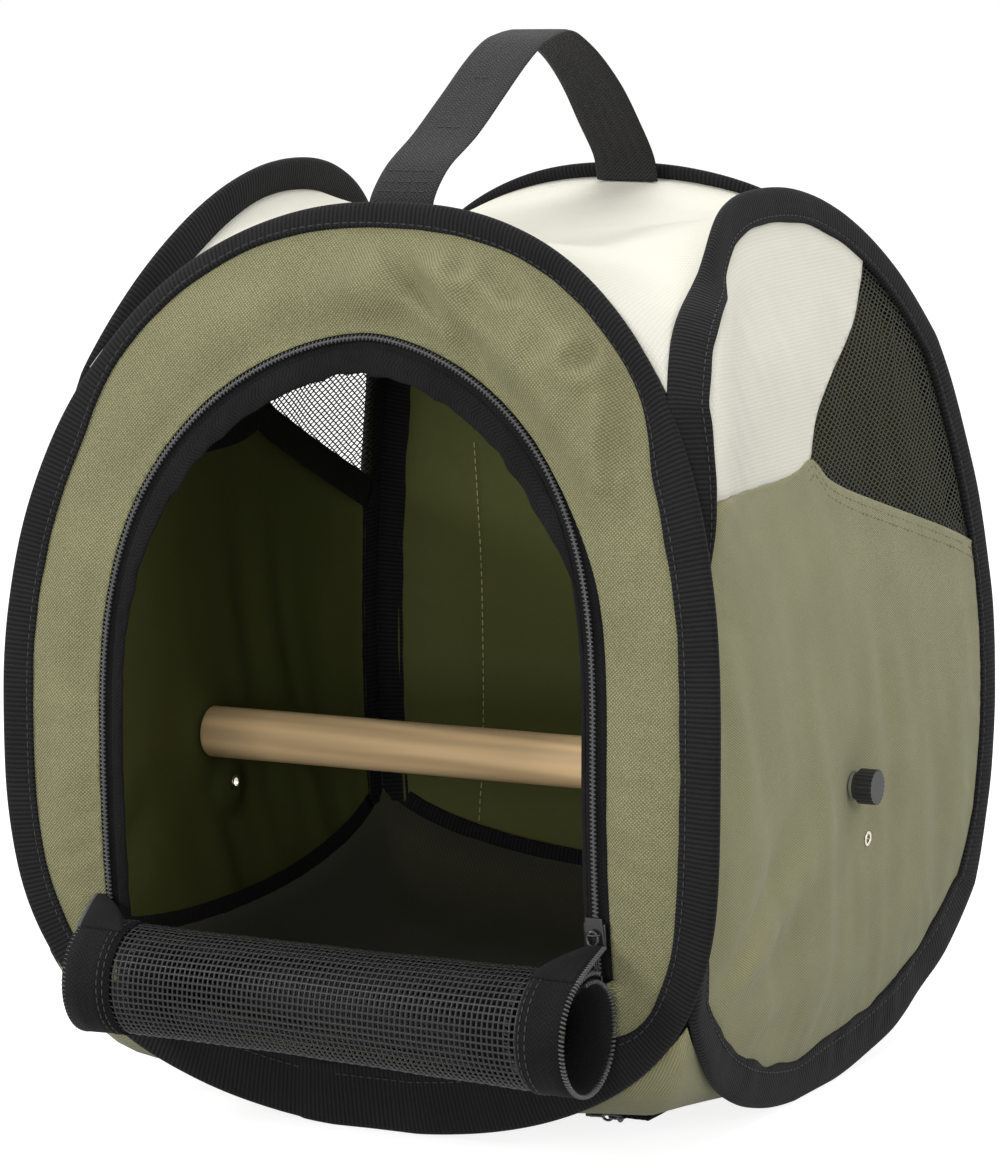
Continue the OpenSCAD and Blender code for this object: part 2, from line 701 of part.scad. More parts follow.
module washer(side) {
    color(steel) perch_axis(side * (wall_out_x + washer_t / 2)) difference() {
        cylinder(d = washer_d, h = washer_t, center = true, $fn = round_fn);
        cylinder(d = bolt_d + 2 * thread_gap, h = 2 * washer_t, center = true, $fn = round_fn);
    }
}

knob_collar = 1.6;
knob_grooves = 24;
groove_d = 0.9;
module knob(side) {
    color(black) scale([side, 1, 1]) perch_axis(wall_out_x + washer_t) difference() {
        union() {
            cylinder(d = washer_d, h = knob_collar, $fn = round_fn);
            translate([0, 0, knob_collar]) cylinder(d = knob_d, h = knob_len - knob_collar, $fn = round_fn);
        }
        translate([0, 0, -cut]) cylinder(d = bolt_d + 2 * thread_gap, h = knob_bolt + cut, $fn = round_fn);
        for (i = [1:knob_grooves]) rotate(i * 360 / knob_grooves)
            translate([knob_d / 2, 0, knob_collar - cut]) cylinder(d = groove_d, h = knob_len + cut, $fn = 12);
    }
}

module eyelets(u, z) {
    color(steel) cabin() for (side = [-1, 1]) side_wall(side) on_wall(u, z, 0) difference() {
        union() {
            cylinder(d = eyelet_barrel, h = 2 * eyelet_out, center = true, $fn = round_fn);
            for (end = [-1, 1]) translate([0, 0, end * (eyelet_out - flange_t / 2)])
                cylinder(d = eyelet_d, h = flange_t, center = true, $fn = round_fn);
        }
        cylinder(d = eyelet_hole, h = 4 * eyelet_out, center = true, $fn = round_fn);
    }
}

// Handle: a webbing bow over the top. Each leg has a notch at the bending line, where the bow above it
// swings on the short piece that is sewn to the rim below it.
foot_z = hoop_h - top_inset + fabric_t + seam_gap;
function foot_at(z) = band_inner(z) - (seam_gap / 2 + webbing_t / 2) / cos(wall_lean(z));
bow_foot = foot_at(hoop_h);
bow_steps = 24;
function bow_z(y) =
    let (front = y < crown_back, reach = front ? bow_foot + crown_back : bow_foot - crown_back)
    hoop_h + handle_rise * (1 - pow(abs(y - crown_back) / reach, front ? front_bow_p : rear_bow_p));
bow_line = concat([[-foot_at(foot_z), foot_z]],
                  [for (i = [0:bow_steps]) let (y = -bow_foot + 2 * bow_foot * i / bow_steps) [y, bow_z(y)]],
                  [[foot_at(foot_z), foot_z]]);
function bow_side(i, out) =
    let (d = bow_line[min(i + 1, len(bow_line) - 1)] - bow_line[max(i - 1, 0)])
    bow_line[i] + out / norm(d) * [-d.y, d.x];
module bow() {
    last = len(bow_line) - 1;
    cabin() translate([-webbing_w / 2, 0, 0]) rotate([90, 0, 90]) linear_extrude(height = webbing_w)
        polygon(concat([for (i = [0:last]) bow_side(i, webbing_t / 2)],
                       [for (i = [last:-1:0]) bow_side(i, -webbing_t / 2)]));
}

notch = webbing_w * tan(notch_slope);
notch_gap = 0.2;
module handle_strap() {
    top = 2 * hoop_h;
    color(black) intersection() {
        bow();
        translate([0, hoop_h, hinge_z + notch_gap / 2]) rotate([90, 0, 0]) linear_extrude(height = 2 * hoop_h)
            polygon([[0, 0], [webbing_w, notch], [webbing_w, top], [-webbing_w, top], [-webbing_w, notch]]);
    }
}

module handle_tabs() {
    color(black) intersection() {
        bow();
        translate([0, hoop_h, hinge_z - notch_gap / 2]) rotate([90, 0, 0]) linear_extrude(height = 2 * hoop_h)
            polygon([[0, 0], [webbing_w, -notch], [webbing_w, -hoop_h], [-webbing_w, -hoop_h], [-webbing_w, -notch]]);
    }
}

cabin() hoop_wire(false);  // front_hoop_wire
cabin() rotate([0, 0, 180]) hoop_wire(true);  // rear_hoop_wire
cabin() side_wall(-1) hoop_wire(true);  // left_hoop_wire
cabin() side_wall(1) hoop_wire(true);  // right_hoop_wire
cabin() binding(false);  // front_binding
cabin() rotate([0, 0, 180]) binding(true);  // rear_binding
cabin() side_wall(-1) binding(true);  // left_binding
cabin() side_wall(1) binding(true);  // right_binding
front_panel();
rear_panel();
lower_panel(-1);  // left_lower_panel
lower_panel(1);  // right_lower_panel
upper_panel(-1);  // left_upper_panel
upper_panel(1);  // right_upper_panel
mesh_window(-1);  // left_mesh_window
mesh_window(1);  // right_mesh_window
hem_tape(-1);  // left_hem_tape
hem_tape(1);  // right_hem_tape
top_panel();
bottom_cover();
floor_lining();
floor_board();
floor_seam_tape();
floor_zip_tape();
floor_zip_coil();
floor_zip_tabs();
floor_zip_slider();
floor_zip_pull();
door_zip_tape();
door_zip_coil();
door_zip_slider();
door_zip_pull();
flap_hem();
flap_mesh();
flap_left_tape();
flap_right_tape();
flap_zip_coil();
perch_dowel();
perch_bolts();
washer(-1);  // left_washer
washer(1);  // right_washer
knob(-1);  // left_knob
knob(1);  // right_knob
eyelets(perch_y, perch_z);  // perch_eyelets
eyelets(spare_y, spare_z);  // spare_eyelets
handle_strap();
handle_tabs();
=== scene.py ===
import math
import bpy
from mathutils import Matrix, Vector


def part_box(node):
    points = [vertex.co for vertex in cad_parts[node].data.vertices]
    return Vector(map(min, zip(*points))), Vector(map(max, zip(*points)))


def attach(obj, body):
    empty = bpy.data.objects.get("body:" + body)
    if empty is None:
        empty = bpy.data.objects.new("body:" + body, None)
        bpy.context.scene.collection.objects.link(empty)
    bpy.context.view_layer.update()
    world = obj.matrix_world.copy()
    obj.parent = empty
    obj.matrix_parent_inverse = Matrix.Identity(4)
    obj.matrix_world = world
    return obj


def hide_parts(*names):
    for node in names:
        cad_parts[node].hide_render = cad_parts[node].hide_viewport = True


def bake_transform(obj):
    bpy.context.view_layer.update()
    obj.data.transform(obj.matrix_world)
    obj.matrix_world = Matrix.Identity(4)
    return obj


bl_info = {
    "name": "Bird travel carrier",
    "version": (1, 0, 0),
    "blender": (4, 5, 0),
    "location": "View3D > Sidebar > Carrier",
    "description": "Pop-up fabric carrier for a small bird, with a rolled mesh flap and a wooden perch",
    "category": "Object",
}

import bpy
from mathutils import Matrix, Vector, geometry, noise

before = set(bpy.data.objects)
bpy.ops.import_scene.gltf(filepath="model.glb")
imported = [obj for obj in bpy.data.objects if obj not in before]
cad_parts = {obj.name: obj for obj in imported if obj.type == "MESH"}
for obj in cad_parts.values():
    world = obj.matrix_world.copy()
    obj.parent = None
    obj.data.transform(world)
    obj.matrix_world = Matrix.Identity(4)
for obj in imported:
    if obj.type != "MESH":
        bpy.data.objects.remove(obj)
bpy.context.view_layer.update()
MM = 0.001
SIDES = ("left", "right")


def span_middle(node, axis):
    """The middle of a CAD node's box along an axis."""
    low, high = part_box(node)
    return (low[axis] + high[axis]) / 2


# The carrier's form as in the CAD part, in metres. On each wall u runs across and z up.
# A hoop: its width, height and widest level, the powers of its two arcs, and how far its foot is cut
HOOP_W, HOOP_H, WIDE_Z = 0.277, 0.320, 0.144
UPPER_P, UPPER_Q, LOWER_P, LOWER_Q, FOOT_CUT = 2.3, 2.23, 2.06, 3.4, 0.0005
# A wall bows out on a radius about its belly, and its cloth is sewn a little inside its neighbours
WALL_REACH, BEND_R, BELLY_Z = 0.130, 0.508, 0.128
CORNER_SEWN, SEWN_IN = 1.6 * MM, 4.5 * MM
# The doorway, and the roll below it
DOOR_HALF, DOOR_X, SILL_Z, SPRING_Z, CROWN_Z, ARCH_P, ARCH_Q = 0.095, -0.003, 0.060, 0.130, 0.275, 1.7, 3.1
ROLL_R, ROLL_Z, ROLL_PITCH, ROLL_START = 0.0175, 0.049, 0.003, math.radians(68)
ROLL_TURNS = (math.radians(396), math.radians(720))
LOOSE = 2.2 * MM
TAPE_HALF, TAPE_IN, CORE_HALF = 97.5 * MM, 80.5 * MM, 75 * MM
# The perch, the spare eyelet beside it and the handle's webbing
PERCH_Y, PERCH_Z, PERCH_D = -0.002, 0.112, 0.019
SPARE_Y, SPARE_Z = 0.014, 0.090
WEBBING_W = 0.025
# The bottom cover with its zip, and the lining over the floor board
FLOOR_ZIP_FRONT, COVER_Z = 0.072, 0.007
FLOOR_LEVEL, COVER_LEVEL, LINING_Z, LINING_CORNER_Z, LINING_LOW_Z = 12, 5, 0.044, 0.068, 0.0114
CABIN_Y = span_middle("left_binding", 1)
ROLL_Y = span_middle("flap_mesh", 1) - CABIN_Y


# ---------------------------------------------------------------- sizes and colours that a user would change


def length(name, description, default):
    return bpy.props.FloatProperty(name=name, description=description, default=default * MM, unit="LENGTH")


def colour(name, description, default):
    return bpy.props.StringProperty(name=name, description=description + ", sRGB hex", default=default)


class CarrierSizes(bpy.types.PropertyGroup):
    binding_width: length("Binding width", "Width of the folded grosgrain on each hoop", 12)
    rib_pitch: length("Grosgrain ribs", "Spacing of the ribs across the binding", 1.7)
    cloth_t: length("Cloth thickness", "Thickness of the wall cloth", 0.8)
    net_pitch: length("Net pitch", "Spacing of the side windows' net", 2.5)
    net_strand: length("Net strand", "Width of a strand of the side windows' net", 0.5)
    roll_pitch_x: length("Flap mesh, across", "Spacing of the flap's mesh along the roll", 2.05)
    roll_pitch_a: length("Flap mesh, around", "Spacing of the flap's mesh round the roll", 2.15)
    tooth_pitch: length("Zip teeth", "Spacing of the turns of the zip's coil", 1.5)
    stitch_len: length("Stitch length", "Length of one sewn stitch with its gap", 3.2)


class CarrierColours(bpy.types.PropertyGroup):
    olive: colour("Olive cloth", "Colour of the wall cloth", "#858361")
    cream: colour("Cream cloth", "Colour of the top", "#D9D7C9")
    black: colour("Black tape", "Colour of bindings and zips", "#1a1a1b")
    # The perch's pale wood is partly painted light, for light it lacks inside the cabin
    wood: colour("Perch wood", "Colour of the perch", "#F2CD9B")


def sizes():
    return bpy.context.scene.carrier_sizes


def colours():
    return bpy.context.scene.carrier_colours


# ---------------------------------------------------------------- lines and noise


def between(v, low, high):
    """From 0 at low to 1 at high, easing in and out."""
    t = min(1.0, max(0.0, (v - low) / (high - low)))
    return t * t * (3 - 2 * t)


def ripple(p, scale, seed=0.0):
    """Smooth noise between -1 and 1."""
    return noise.noise(Vector((p[0] / scale, p[1] / scale, seed)))


def signed_pow(v, e):
    return math.copysign(abs(v) ** e, v)


def run_of(line):
    """How long a line is up to each of its points."""
    run = [0.0]
    for p, q in zip(line, line[1:]):
        run.append(run[-1] + (q - p).length)
    return run


def stops(line, places):
    """For each place along a line, the number of its stretch and the share of the stretch before it."""
    run, k = run_of(line), 0
    for s in places:
        while k < len(run) - 2 and run[k + 1] < s:
            k += 1
        yield k, (s - run[k]) / max(run[k + 1] - run[k], 1e-12)


def at_pitch(line, pitch):
    """The stops of what repeats along a line, half a pitch from its start."""
    return stops(line, [(i + 0.5) * pitch for i in range(int(run_of(line)[-1] / pitch))])


def resample(points, n, closed=True):
    """n points at even steps along a line, and its length."""
    line = points + points[:1] if closed else points
    total = run_of(line)[-1]
    places = [total * i / (n if closed else n - 1) for i in range(n)]
    return [line[k].lerp(line[k + 1], min(1.0, t)) for k, t in stops(line, places)], total


def directions(line):
    """The unit direction of a line at each of its points."""
    last = len(line) - 1
    return [(line[min(i + 1, last)] - line[max(i - 1, 0)]).normalized() for i in range(last + 1)]


def smooth_line(points, n):
    """A smooth line through a few 2D points, n steps from each to the next."""
    padded = [points[0], *points, points[-1]]
    result = []
    for i in range(len(points) - 1):
        p0, p1, p2, p3 = (Vector(padded[i + k]) for k in range(4))
        for j in range(n):
            t = j / n
            result.append(0.5 * ((2 * p1) + (p2 - p0) * t + (2 * p0 - 5 * p1 + 4 * p2 - p3) * t * t
                                 + (3 * p1 - p0 - 3 * p2 + p3) * t ** 3))
    return result + [Vector(points[-1])]


def read_off(line, place, axis=0):
    """A line's height at a place across it, or with axis 1 its place across at a height."""
    for a, b in zip(line, line[1:]):
        if a[axis] <= place <= b[axis]:
            share = (place - a[axis]) / max(b[axis] - a[axis], 1e-9)
            return a[1 - axis] + (b[1 - axis] - a[1 - axis]) * share
    return (line[0] if place < line[0][axis] else line[-1])[1 - axis]


# ---------------------------------------------------------------- the carrier's form


def wall_at(z):
    return WALL_REACH - BEND_R + math.sqrt(BEND_R ** 2 - (z - BELLY_Z) ** 2)


def seam_limit(z):
    return wall_at(z) - 2.3 * MM


def settled(wall, u, z):
    """How far the side hoops have sunk or sprung out at their front shoulders, as (across, up)."""
    if wall == "right":
        sunk = math.exp(-((u + 0.066) ** 2 + (z - 0.305) ** 2) / 0.028 ** 2)
        sprung = math.exp(-((u + 0.112) ** 2 + (z - 0.258) ** 2) / 0.024 ** 2)
        return 3 * MM * sunk - 2.0 * MM * sprung, -7 * MM * sunk
    if wall == "left":
        sprung = math.exp(-((u + 0.010) / 0.070) ** 2 - ((z - 0.315) / 0.040) ** 2)
        return -2.0 * MM * sprung, 6.0 * MM * sprung
    return 0.0, 0.0


def on_wall(wall, u, z, out=0.0):
    """The point at u across and z up a wall, out metres outside its middle surface."""
    across, up = settled(wall, u, z)
    u, z = u + across, z + up
    a = math.asin((z - BELLY_Z) / BEND_R)
    d = (BEND_R + out) * math.cos(a) - (BEND_R - WALL_REACH)
    h = BELLY_Z + (BEND_R + out) * math.sin(a)
    x, y = {"front": (u, -d), "rear": (-u, d), "right": (d, u), "left": (-d, u)}[wall]
    return Vector((x, y + CABIN_Y, h))


def wall_out(wall, u, z):
    """The outward direction of a wall at a point."""
    return (on_wall(wall, u, z, 1 * MM) - on_wall(wall, u, z)).normalized()


def arc_of(up):
    """The height and the two powers of a hoop's upper or lower arc."""
    return (HOOP_H - WIDE_Z, UPPER_P, UPPER_Q) if up else (WIDE_Z + FOOT_CUT, LOWER_P, LOWER_Q)


def arc_z(x, up):
    """The height of a hoop's rim at x across."""
    half_h, p, q = arc_of(up)
    height = half_h * (1 - (abs(x) / (HOOP_W / 2)) ** p) ** (1 / q)
    return WIDE_Z + (height if up else -height)


def corner_z(inside, outside):
    """The height at which the front hoop's rim crosses a side wall."""
    for _ in range(30):
        m = (inside + outside) / 2
        half_h, p, q = arc_of(m > WIDE_Z)
        rim = HOOP_W / 2 * max(0.0, 1 - (abs(m - WIDE_Z) / half_h) ** q) ** (1 / p)
        inside, outside = (m, outside) if rim > seam_limit(m) else (inside, m)
    return (inside + outside) / 2


def rim_at(a, tucked):
    """The point of a hoop's rim at an angle. A tucked rim stays between the side walls."""
    half_h, p, q = arc_of(math.sin(a) >= 0)
    x, z = HOOP_W / 2 * signed_pow(math.cos(a), 2 / p), max(0.0, WIDE_Z + half_h * signed_pow(math.sin(a), 2 / q))
    limit = seam_limit(z) + CORNER_SEWN if tucked else HOOP_W
    return Vector((max(-limit, min(limit, x)), z))


def rim_line(tucked, n):
    """Even points round a hoop from its right side over the top, its inward directions and its length."""
    points, total = resample([rim_at(2 * math.pi * i / 3000, tucked) for i in range(3000)], n)
    chords = [points[(i + 3) % n] - points[i - 3] for i in range(n)]
    return points, [Vector((-d.y, d.x)).normalized() for d in chords], total


def rim_outline(tucked):
    """A hoop's outline where its wall's cloth ends, inside the binding."""
    points, normals, _ = rim_line(tucked, 160)
    return [p + SEWN_IN * d for p, d in zip(points, normals)]


def rim_depth(u, z, tucked=False):
    """About how far a point of a wall lies inside the hoop's edge, in metres."""
    half_h, p, q = arc_of(z >= WIDE_Z)
    half_h -= FOOT_CUT * (z < WIDE_Z)
    x, y = abs(u) / (HOOP_W / 2), abs(z - WIDE_Z) / half_h
    slope = math.hypot(p * 2 / HOOP_W * x ** (p - 1), q / half_h * y ** (q - 1))
    depth = (1 - x ** p - y ** q) / max(slope, 16.0)
    if not tucked:
        return depth
    side = seam_limit(z) + CORNER_SEWN - abs(u)
    soft = 3 * MM
    least = min(depth, side)
    return least - soft * math.log(math.exp((least - depth) / soft) + math.exp((least - side) / soft))


def door_line(g, low, n):
    """Even points along the doorway's edge, grown by g, from low on the right over the arch to the left."""
    half, rise = DOOR_HALF + g, CROWN_Z - SPRING_Z + g
    dense = [Vector((DOOR_X + half, low))]
    for i in range(1201):
        a = math.pi * i / 1200
        dense.append(Vector((DOOR_X + half * signed_pow(math.cos(a), 2 / ARCH_P),
                             SPRING_Z + rise * abs(math.sin(a)) ** (2 / ARCH_Q))))
    return resample(dense + [Vector((DOOR_X - half, low))], n, closed=False)[0]


def door_depth(u, z):
    """About how far a point of the front wall lies outside the doorway's edge, in metres."""
    if z < SPRING_Z:
        return max(abs(u - DOOR_X) - DOOR_HALF, SILL_Z - z)
    f = (abs(u - DOOR_X) / DOOR_HALF) ** ARCH_P + ((z - SPRING_Z) / (CROWN_Z - SPRING_Z)) ** ARCH_Q
    return (f ** 0.45 - 1) * DOOR_HALF


def turned(wall, u, z):
    """How far a hoop's binding is turned out of its wall, in radians. Its inner edge stands out where it is more
    than 0. The front hoop's is turned at the crown, and the side hoops' where they meet the front hoop."""
    if wall == "front":
        return math.radians(26 * between(-u, -0.01, 0.06) - 22 * between(u, 0.0, 0.05)) * between(z, 0.235, 0.28)
    if wall == "rear":
        return math.radians(12) * between(z, 0.28, 0.315)
    if wall == "left":
        return math.radians(-18 - 28 * between(-u, 0.02, 0.07)) * between(-u, -0.08, 0.0) * between(z, 0.225, 0.265)
    return math.radians(50) * between(-u, 0.035, 0.085) * between(z, 0.185, 0.225) * (1 - between(z, 0.298, 0.319))


def band_width(wall, u, z):
    """The width of a hoop's binding, as far as it shows. It is sewn wider below, and the cloth puffs over it at
    the crown of the front hoop."""
    low = 1 - between(z, 0.014, 0.060)
    if wall == "front":
        crown = between(z, 0.230, 0.270)
        more = 1.35 * low * (1 - between(abs(u), 0.090, 0.122)) - 0.36 * crown
        more += 0.30 * between(u, 0.08, 0.12) * between(z, 0.04, 0.1) * (1 - crown)
    elif wall == "rear":
        more = 0.3 * low
    elif wall == "left":
        more = 0.42 * low + 0.15 * between(z, 0.24, 0.27)
    else:
        foot = (1 - between(z, 0.030, 0.085)) * between(u, -0.060, 0.020)
        waist = between(z, 0.05, 0.09) * (1 - between(z, 0.185, 0.225))
        more = max(0.42 * low, 0.95 * foot)
        more += between(-u, 0.055, 0.095) * (0.3 * between(z, 0.205, 0.250) - 0.42 * waist)
    return sizes().binding_width * (1 + more)


# ---------------------------------------------------------------- making meshes


def select(*pieces):
    """Selects these pieces alone and makes the first one active."""
    bpy.ops.object.select_all(action="DESELECT")
    for piece in pieces:
        piece.select_set(True)
        bpy.context.view_layer.objects.active = pieces[0]


def modify(piece, kind, **settings):
    """Adds a modifier to a piece and applies it."""
    step = piece.modifiers.new(kind, kind)
    for key, value in settings.items():
        setattr(step, key, value)
    bpy.ops.object.modifier_apply(modifier=step.name)
    return piece


def finish_mesh(piece, thickness=0.0, offset=0.0, subdivide=0, outwards=False):
    """Turns a mesh's faces outwards, subdivides it and gives it the cloth's thickness, as asked."""
    select(piece)
    if outwards:
        bpy.ops.object.mode_set(mode="EDIT")
        bpy.ops.mesh.select_all(action="SELECT")
        bpy.ops.mesh.normals_make_consistent(inside=False)
        bpy.ops.object.mode_set(mode="OBJECT")
    if subdivide:
        modify(piece, "SUBSURF", levels=subdivide, render_levels=subdivide)
    if thickness:
        modify(piece, "SOLIDIFY", thickness=thickness, offset=offset)
    return piece


def link_mesh(name, points, faces, corner_uvs=None, smooth=True):
    mesh = bpy.data.meshes.new(name)
    mesh.from_pydata([tuple(p) for p in points], [], faces)
    if corner_uvs:
        flat = [c for face in corner_uvs for uv in face for c in uv]
        mesh.uv_layers.new(name="UVMap").data.foreach_set("uv", flat)
    piece = bpy.data.objects.new(name, mesh)
    bpy.context.scene.collection.objects.link(piece)
    mesh.update()
    mesh.polygons.foreach_set("use_smooth", [smooth] * len(mesh.polygons))
    return piece


def grid_piece(name, rows, uvs, ring=False, tube=False):
    """A sheet from rows of points. A tube's rows are closed and its ends are capped, and a ring closes both ways.
    uvs has one more row or column where the sheet closes on itself."""
    n, m = len(rows), len(rows[0])
    faces, corners = [], []
    for i in range(n if ring else n - 1):
        for j in range(m if ring or tube else m - 1):
            i2, j2 = (i + 1) % n, (j + 1) % m
            faces.append((i * m + j, i2 * m + j, i2 * m + j2, i * m + j2))
            corners.append((uvs[i][j], uvs[i + 1][j], uvs[i + 1][j + 1], uvs[i][j + 1]))
    if tube:
        faces += [tuple(range(m)), tuple(reversed(range((n - 1) * m, n * m)))]
        corners += [uvs[0][:m], uvs[-1][m - 1::-1]]
    return link_mesh(name, [p for row in rows for p in row], faces, corners)


def region_piece(name, outline, place, step=4 * MM, holes=()):
    """A sheet over a 2D outline: place turns each (u, z) into a point. Its UV is (u, z) in metres."""
    loops = [outline, *holes]
    verts, edges = [], []
    for loop in loops:
        start = len(verts)
        verts += [Vector(p) for p in loop]
        edges += [(start + i, start + (i + 1) % len(loop)) for i in range(len(loop))]

    def within(p, loop):
        result = False
        for a, b in zip(loop, [*loop[1:], loop[0]]):
            if (a[1] > p[1]) != (b[1] > p[1]) and p[0] < (b[0] - a[0]) * (p[1] - a[1]) / (b[1] - a[1]) + a[0]:
                result = not result
        return result

    def on_sheet(p):
        return within(p, outline) and not any(within(p, hole) for hole in holes)

    low = [min(p[k] for p in outline) for k in (0, 1)]
    high = [max(p[k] for p in outline) for k in (0, 1)]
    margin, row = step * 0.45, step * 0.866
    near = [q for loop in loops for q in loop]
    for i in range(int((high[0] - low[0]) / step) + 2):
        for j in range(int((high[1] - low[1]) / row) + 2):
            p = Vector((low[0] + (i + 0.5 * (j % 2)) * step, low[1] + j * row))
            if on_sheet(p) and all((p.x - q[0]) ** 2 + (p.y - q[1]) ** 2 > margin ** 2 for q in near):
                verts.append(p)
    flat, _, faces, _, _, _ = geometry.delaunay_2d_cdt(verts, edges, [], 1, 1e-7)
    kept = [tuple(face) for face in faces if on_sheet(sum((flat[k] for k in face), Vector((0, 0))) / len(face))]
    corners = [[tuple(flat[k]) for k in face] for face in kept]
    return link_mesh(name, [place(p.x, p.y) for p in flat], kept, corners)


def primitive(name, kind, **settings):
    """A new primitive, alone selected, as the start of a piece."""
    select()
    getattr(bpy.ops.mesh, f"primitive_{kind}_add")(**settings)
    piece = bpy.context.object
    piece.name = piece.data.name = name
    return piece


def settle(piece, scale=(1, 1, 1)):
    """Puts the place, turn and scale of the selected piece into its mesh."""
    piece.scale = scale
    bpy.ops.object.transform_apply(location=True, rotation=True, scale=True)
    return piece


def smoothed(piece, degrees):
    bpy.ops.object.shade_smooth_by_angle(angle=math.radians(degrees))
    return piece


def solid(name, size, at, bevel):
    """A small bevelled block, modelled at its size and place."""
    return modify(settle(primitive(name, "cube", size=1, location=at), size), "BEVEL", width=bevel, segments=3)


def ring(name, major, minor, at, turn, stretch=(1, 1, 1), arc=None):
    """A bent wire ring, or the part of it above the height arc."""
    piece = primitive(name, "torus", major_radius=major, minor_radius=minor, major_segments=36, minor_segments=12,
                      location=at, rotation=turn)
    settle(piece, stretch)
    if arc is not None:
        bpy.ops.object.mode_set(mode="EDIT")
        bpy.ops.mesh.select_all(action="SELECT")
        bpy.ops.mesh.bisect(plane_co=(0, 0, arc), plane_no=(0, 0, 1), use_fill=True, clear_inner=True)
        bpy.ops.object.mode_set(mode="OBJECT")
    return smoothed(piece, 50)


def put(piece, matrix):
    """Sets a piece that was modelled at the origin in its place."""
    select(piece)
    piece.matrix_world = matrix
    bpy.ops.object.transform_apply(location=True, rotation=True, scale=True)
    return piece


def joined(name, pieces):
    """Joins several pieces in one, named for what they make."""
    select(*pieces)
    if len(pieces) > 1:
        bpy.ops.object.join()
    pieces[0].name = pieces[0].data.name = name
    return pieces[0]


def set_between(origin, along, up):
    """A matrix that puts a model's X along a direction and its Z up."""
    x = along.normalized()
    z = (up - up.dot(x) * x).normalized()
    return Matrix.Translation(origin) @ Matrix((x, z.cross(x), z)).transposed().to_4x4()


def lay_along(name, model, steps):
    """Copies of one small mesh, each set by a matrix, joined in one piece. model is (points, faces)."""
    points, faces = [], []
    for step in steps:
        start = len(points)
        points += [step @ p for p in model[0]]
        faces += [tuple(start + k for k in face) for face in model[1]]
    return link_mesh(name, points, faces)


def thread_model(size, width, height, sides=6):
    """A short rounded grain of thread along X, for a stitch or a turn of a coil."""
    points = [Vector((-size / 2, 0, 0))]
    for x, r in ((-0.36, 0.8), (0.0, 1.0), (0.36, 0.8)):
        for k in range(sides):
            a = 2 * math.pi * k / sides
            points.append(Vector((x * size, r * width / 2 * math.cos(a), r * height / 2 * math.sin(a))))
    points.append(Vector((size / 2, 0, 0)))
    first, second, third = 1, 1 + sides, 1 + 2 * sides
    faces = []
    for k in range(sides):
        n = (k + 1) % sides
        faces.append((0, first + n, first + k))
        faces += [(a + k, a + n, b + n, b + k) for a, b in ((first, second), (second, third))]
        faces.append((third + k, third + n, len(points) - 1))
    return points, faces


def stitch_row(name, line, ups):
    """Stitches along a line of points. ups gives the outward direction at each point."""
    pitch = sizes().stitch_len
    return lay_along(name, thread_model(pitch * 0.78, 0.55 * MM, 0.5 * MM),
                     [set_between(line[k].lerp(line[k + 1], t), line[k + 1] - line[k], ups[k])
                      for k, t in at_pitch(line, pitch)])


def coil_teeth(name, centres, ups, width):
    """A zip's coil: its turns lie side by side across the line, a little aslant."""
    pitch, alongs = sizes().tooth_pitch, directions(centres)
    steps = []
    for k, t in at_pitch(centres, pitch):
        slant = (ups[k].cross(alongs[k]).normalized() + 0.28 * alongs[k]).normalized()
        steps.append(set_between(centres[k].lerp(centres[k + 1], t), slant, ups[k]))
    return lay_along(name, thread_model(width, 0.66 * pitch, 1.15 * pitch, 8), steps)


def tube_along(name, centres, radius):
    """A round cord along a line of points, closed at its ends."""
    rows, uvs = [], []
    angles = [2 * math.pi * k / 8 for k in range(9)]
    for p, d, s in zip(centres, directions(centres), run_of(centres)):
        side = d.cross(Vector((0, 0, 1)) if abs(d.z) < 0.9 else Vector((1, 0, 0))).normalized()
        up = side.cross(d)
        rows.append([p + radius * (side * math.cos(a) + up * math.sin(a)) for a in angles[:8]])
        uvs.append([(s, radius * a) for a in angles])
    return grid_piece(name, rows, uvs, tube=True)


def flat_section(low, high, level, thick):
    """A flat tape's outline with rounded edges, as (across, outwards) in millimetres."""
    h = thick / 2
    across = [low + h, low * 0.6 + high * 0.4, low * 0.3 + high * 0.7, high - h]
    return [*[(w, level - h) for w in across], (high, level), *[(w, level + h) for w in reversed(across)], (low, level)]


def girth(section):
    """The length round a section in millimetres up to each of its points, in metres."""
    return [s * MM for s in run_of([Vector(p) for p in section + section[:1]])]


def wall_tape(name, wall, line, section):
    """A tape along a 2D line on a wall."""
    rows, uvs = [], []
    for p, d, s in zip(line, directions(line), run_of(line)):
        side = Vector((-d.y, d.x))
        row = []
        for w, h in section:
            q = p + side * w * MM
            row.append(on_wall(wall, q.x, q.y, (h + 0.15 * ripple((s, w * MM), 0.012, 2.0)) * MM))
        rows.append(row)
        uvs.append([(s, v) for v in girth(section)])
    return grid_piece(name, rows, uvs, tube=True)


# ---------------------------------------------------------------- materials

MATH, MIX, RANGE = "ShaderNodeMath", "ShaderNodeMix", "ShaderNodeMapRange"
NOISE, BUMP, PLACE = "ShaderNodeTexNoise", "ShaderNodeBump", "ShaderNodeTexCoord"
# Noise seldom leaves this range, so it is stretched to the range that is asked for
MIDDLE = {"From Min": 0.3, "From Max": 0.7}
MATERIALS = {}


def linear(code):
    """The linear colour of an sRGB hex code."""
    parts = [int(code[i:i + 2], 16) / 255 for i in (1, 3, 5)]
    return (*[c / 12.92 if c <= 0.04045 else ((c + 0.055) / 1.055) ** 2.4 for c in parts], 1.0)


def shade(code, factor):
    """A hex colour made lighter or darker by a factor."""
    return "#" + "".join(f"{min(255, round(int(code[i:i + 2], 16) * factor)):02x}" for i in (1, 3, 5))


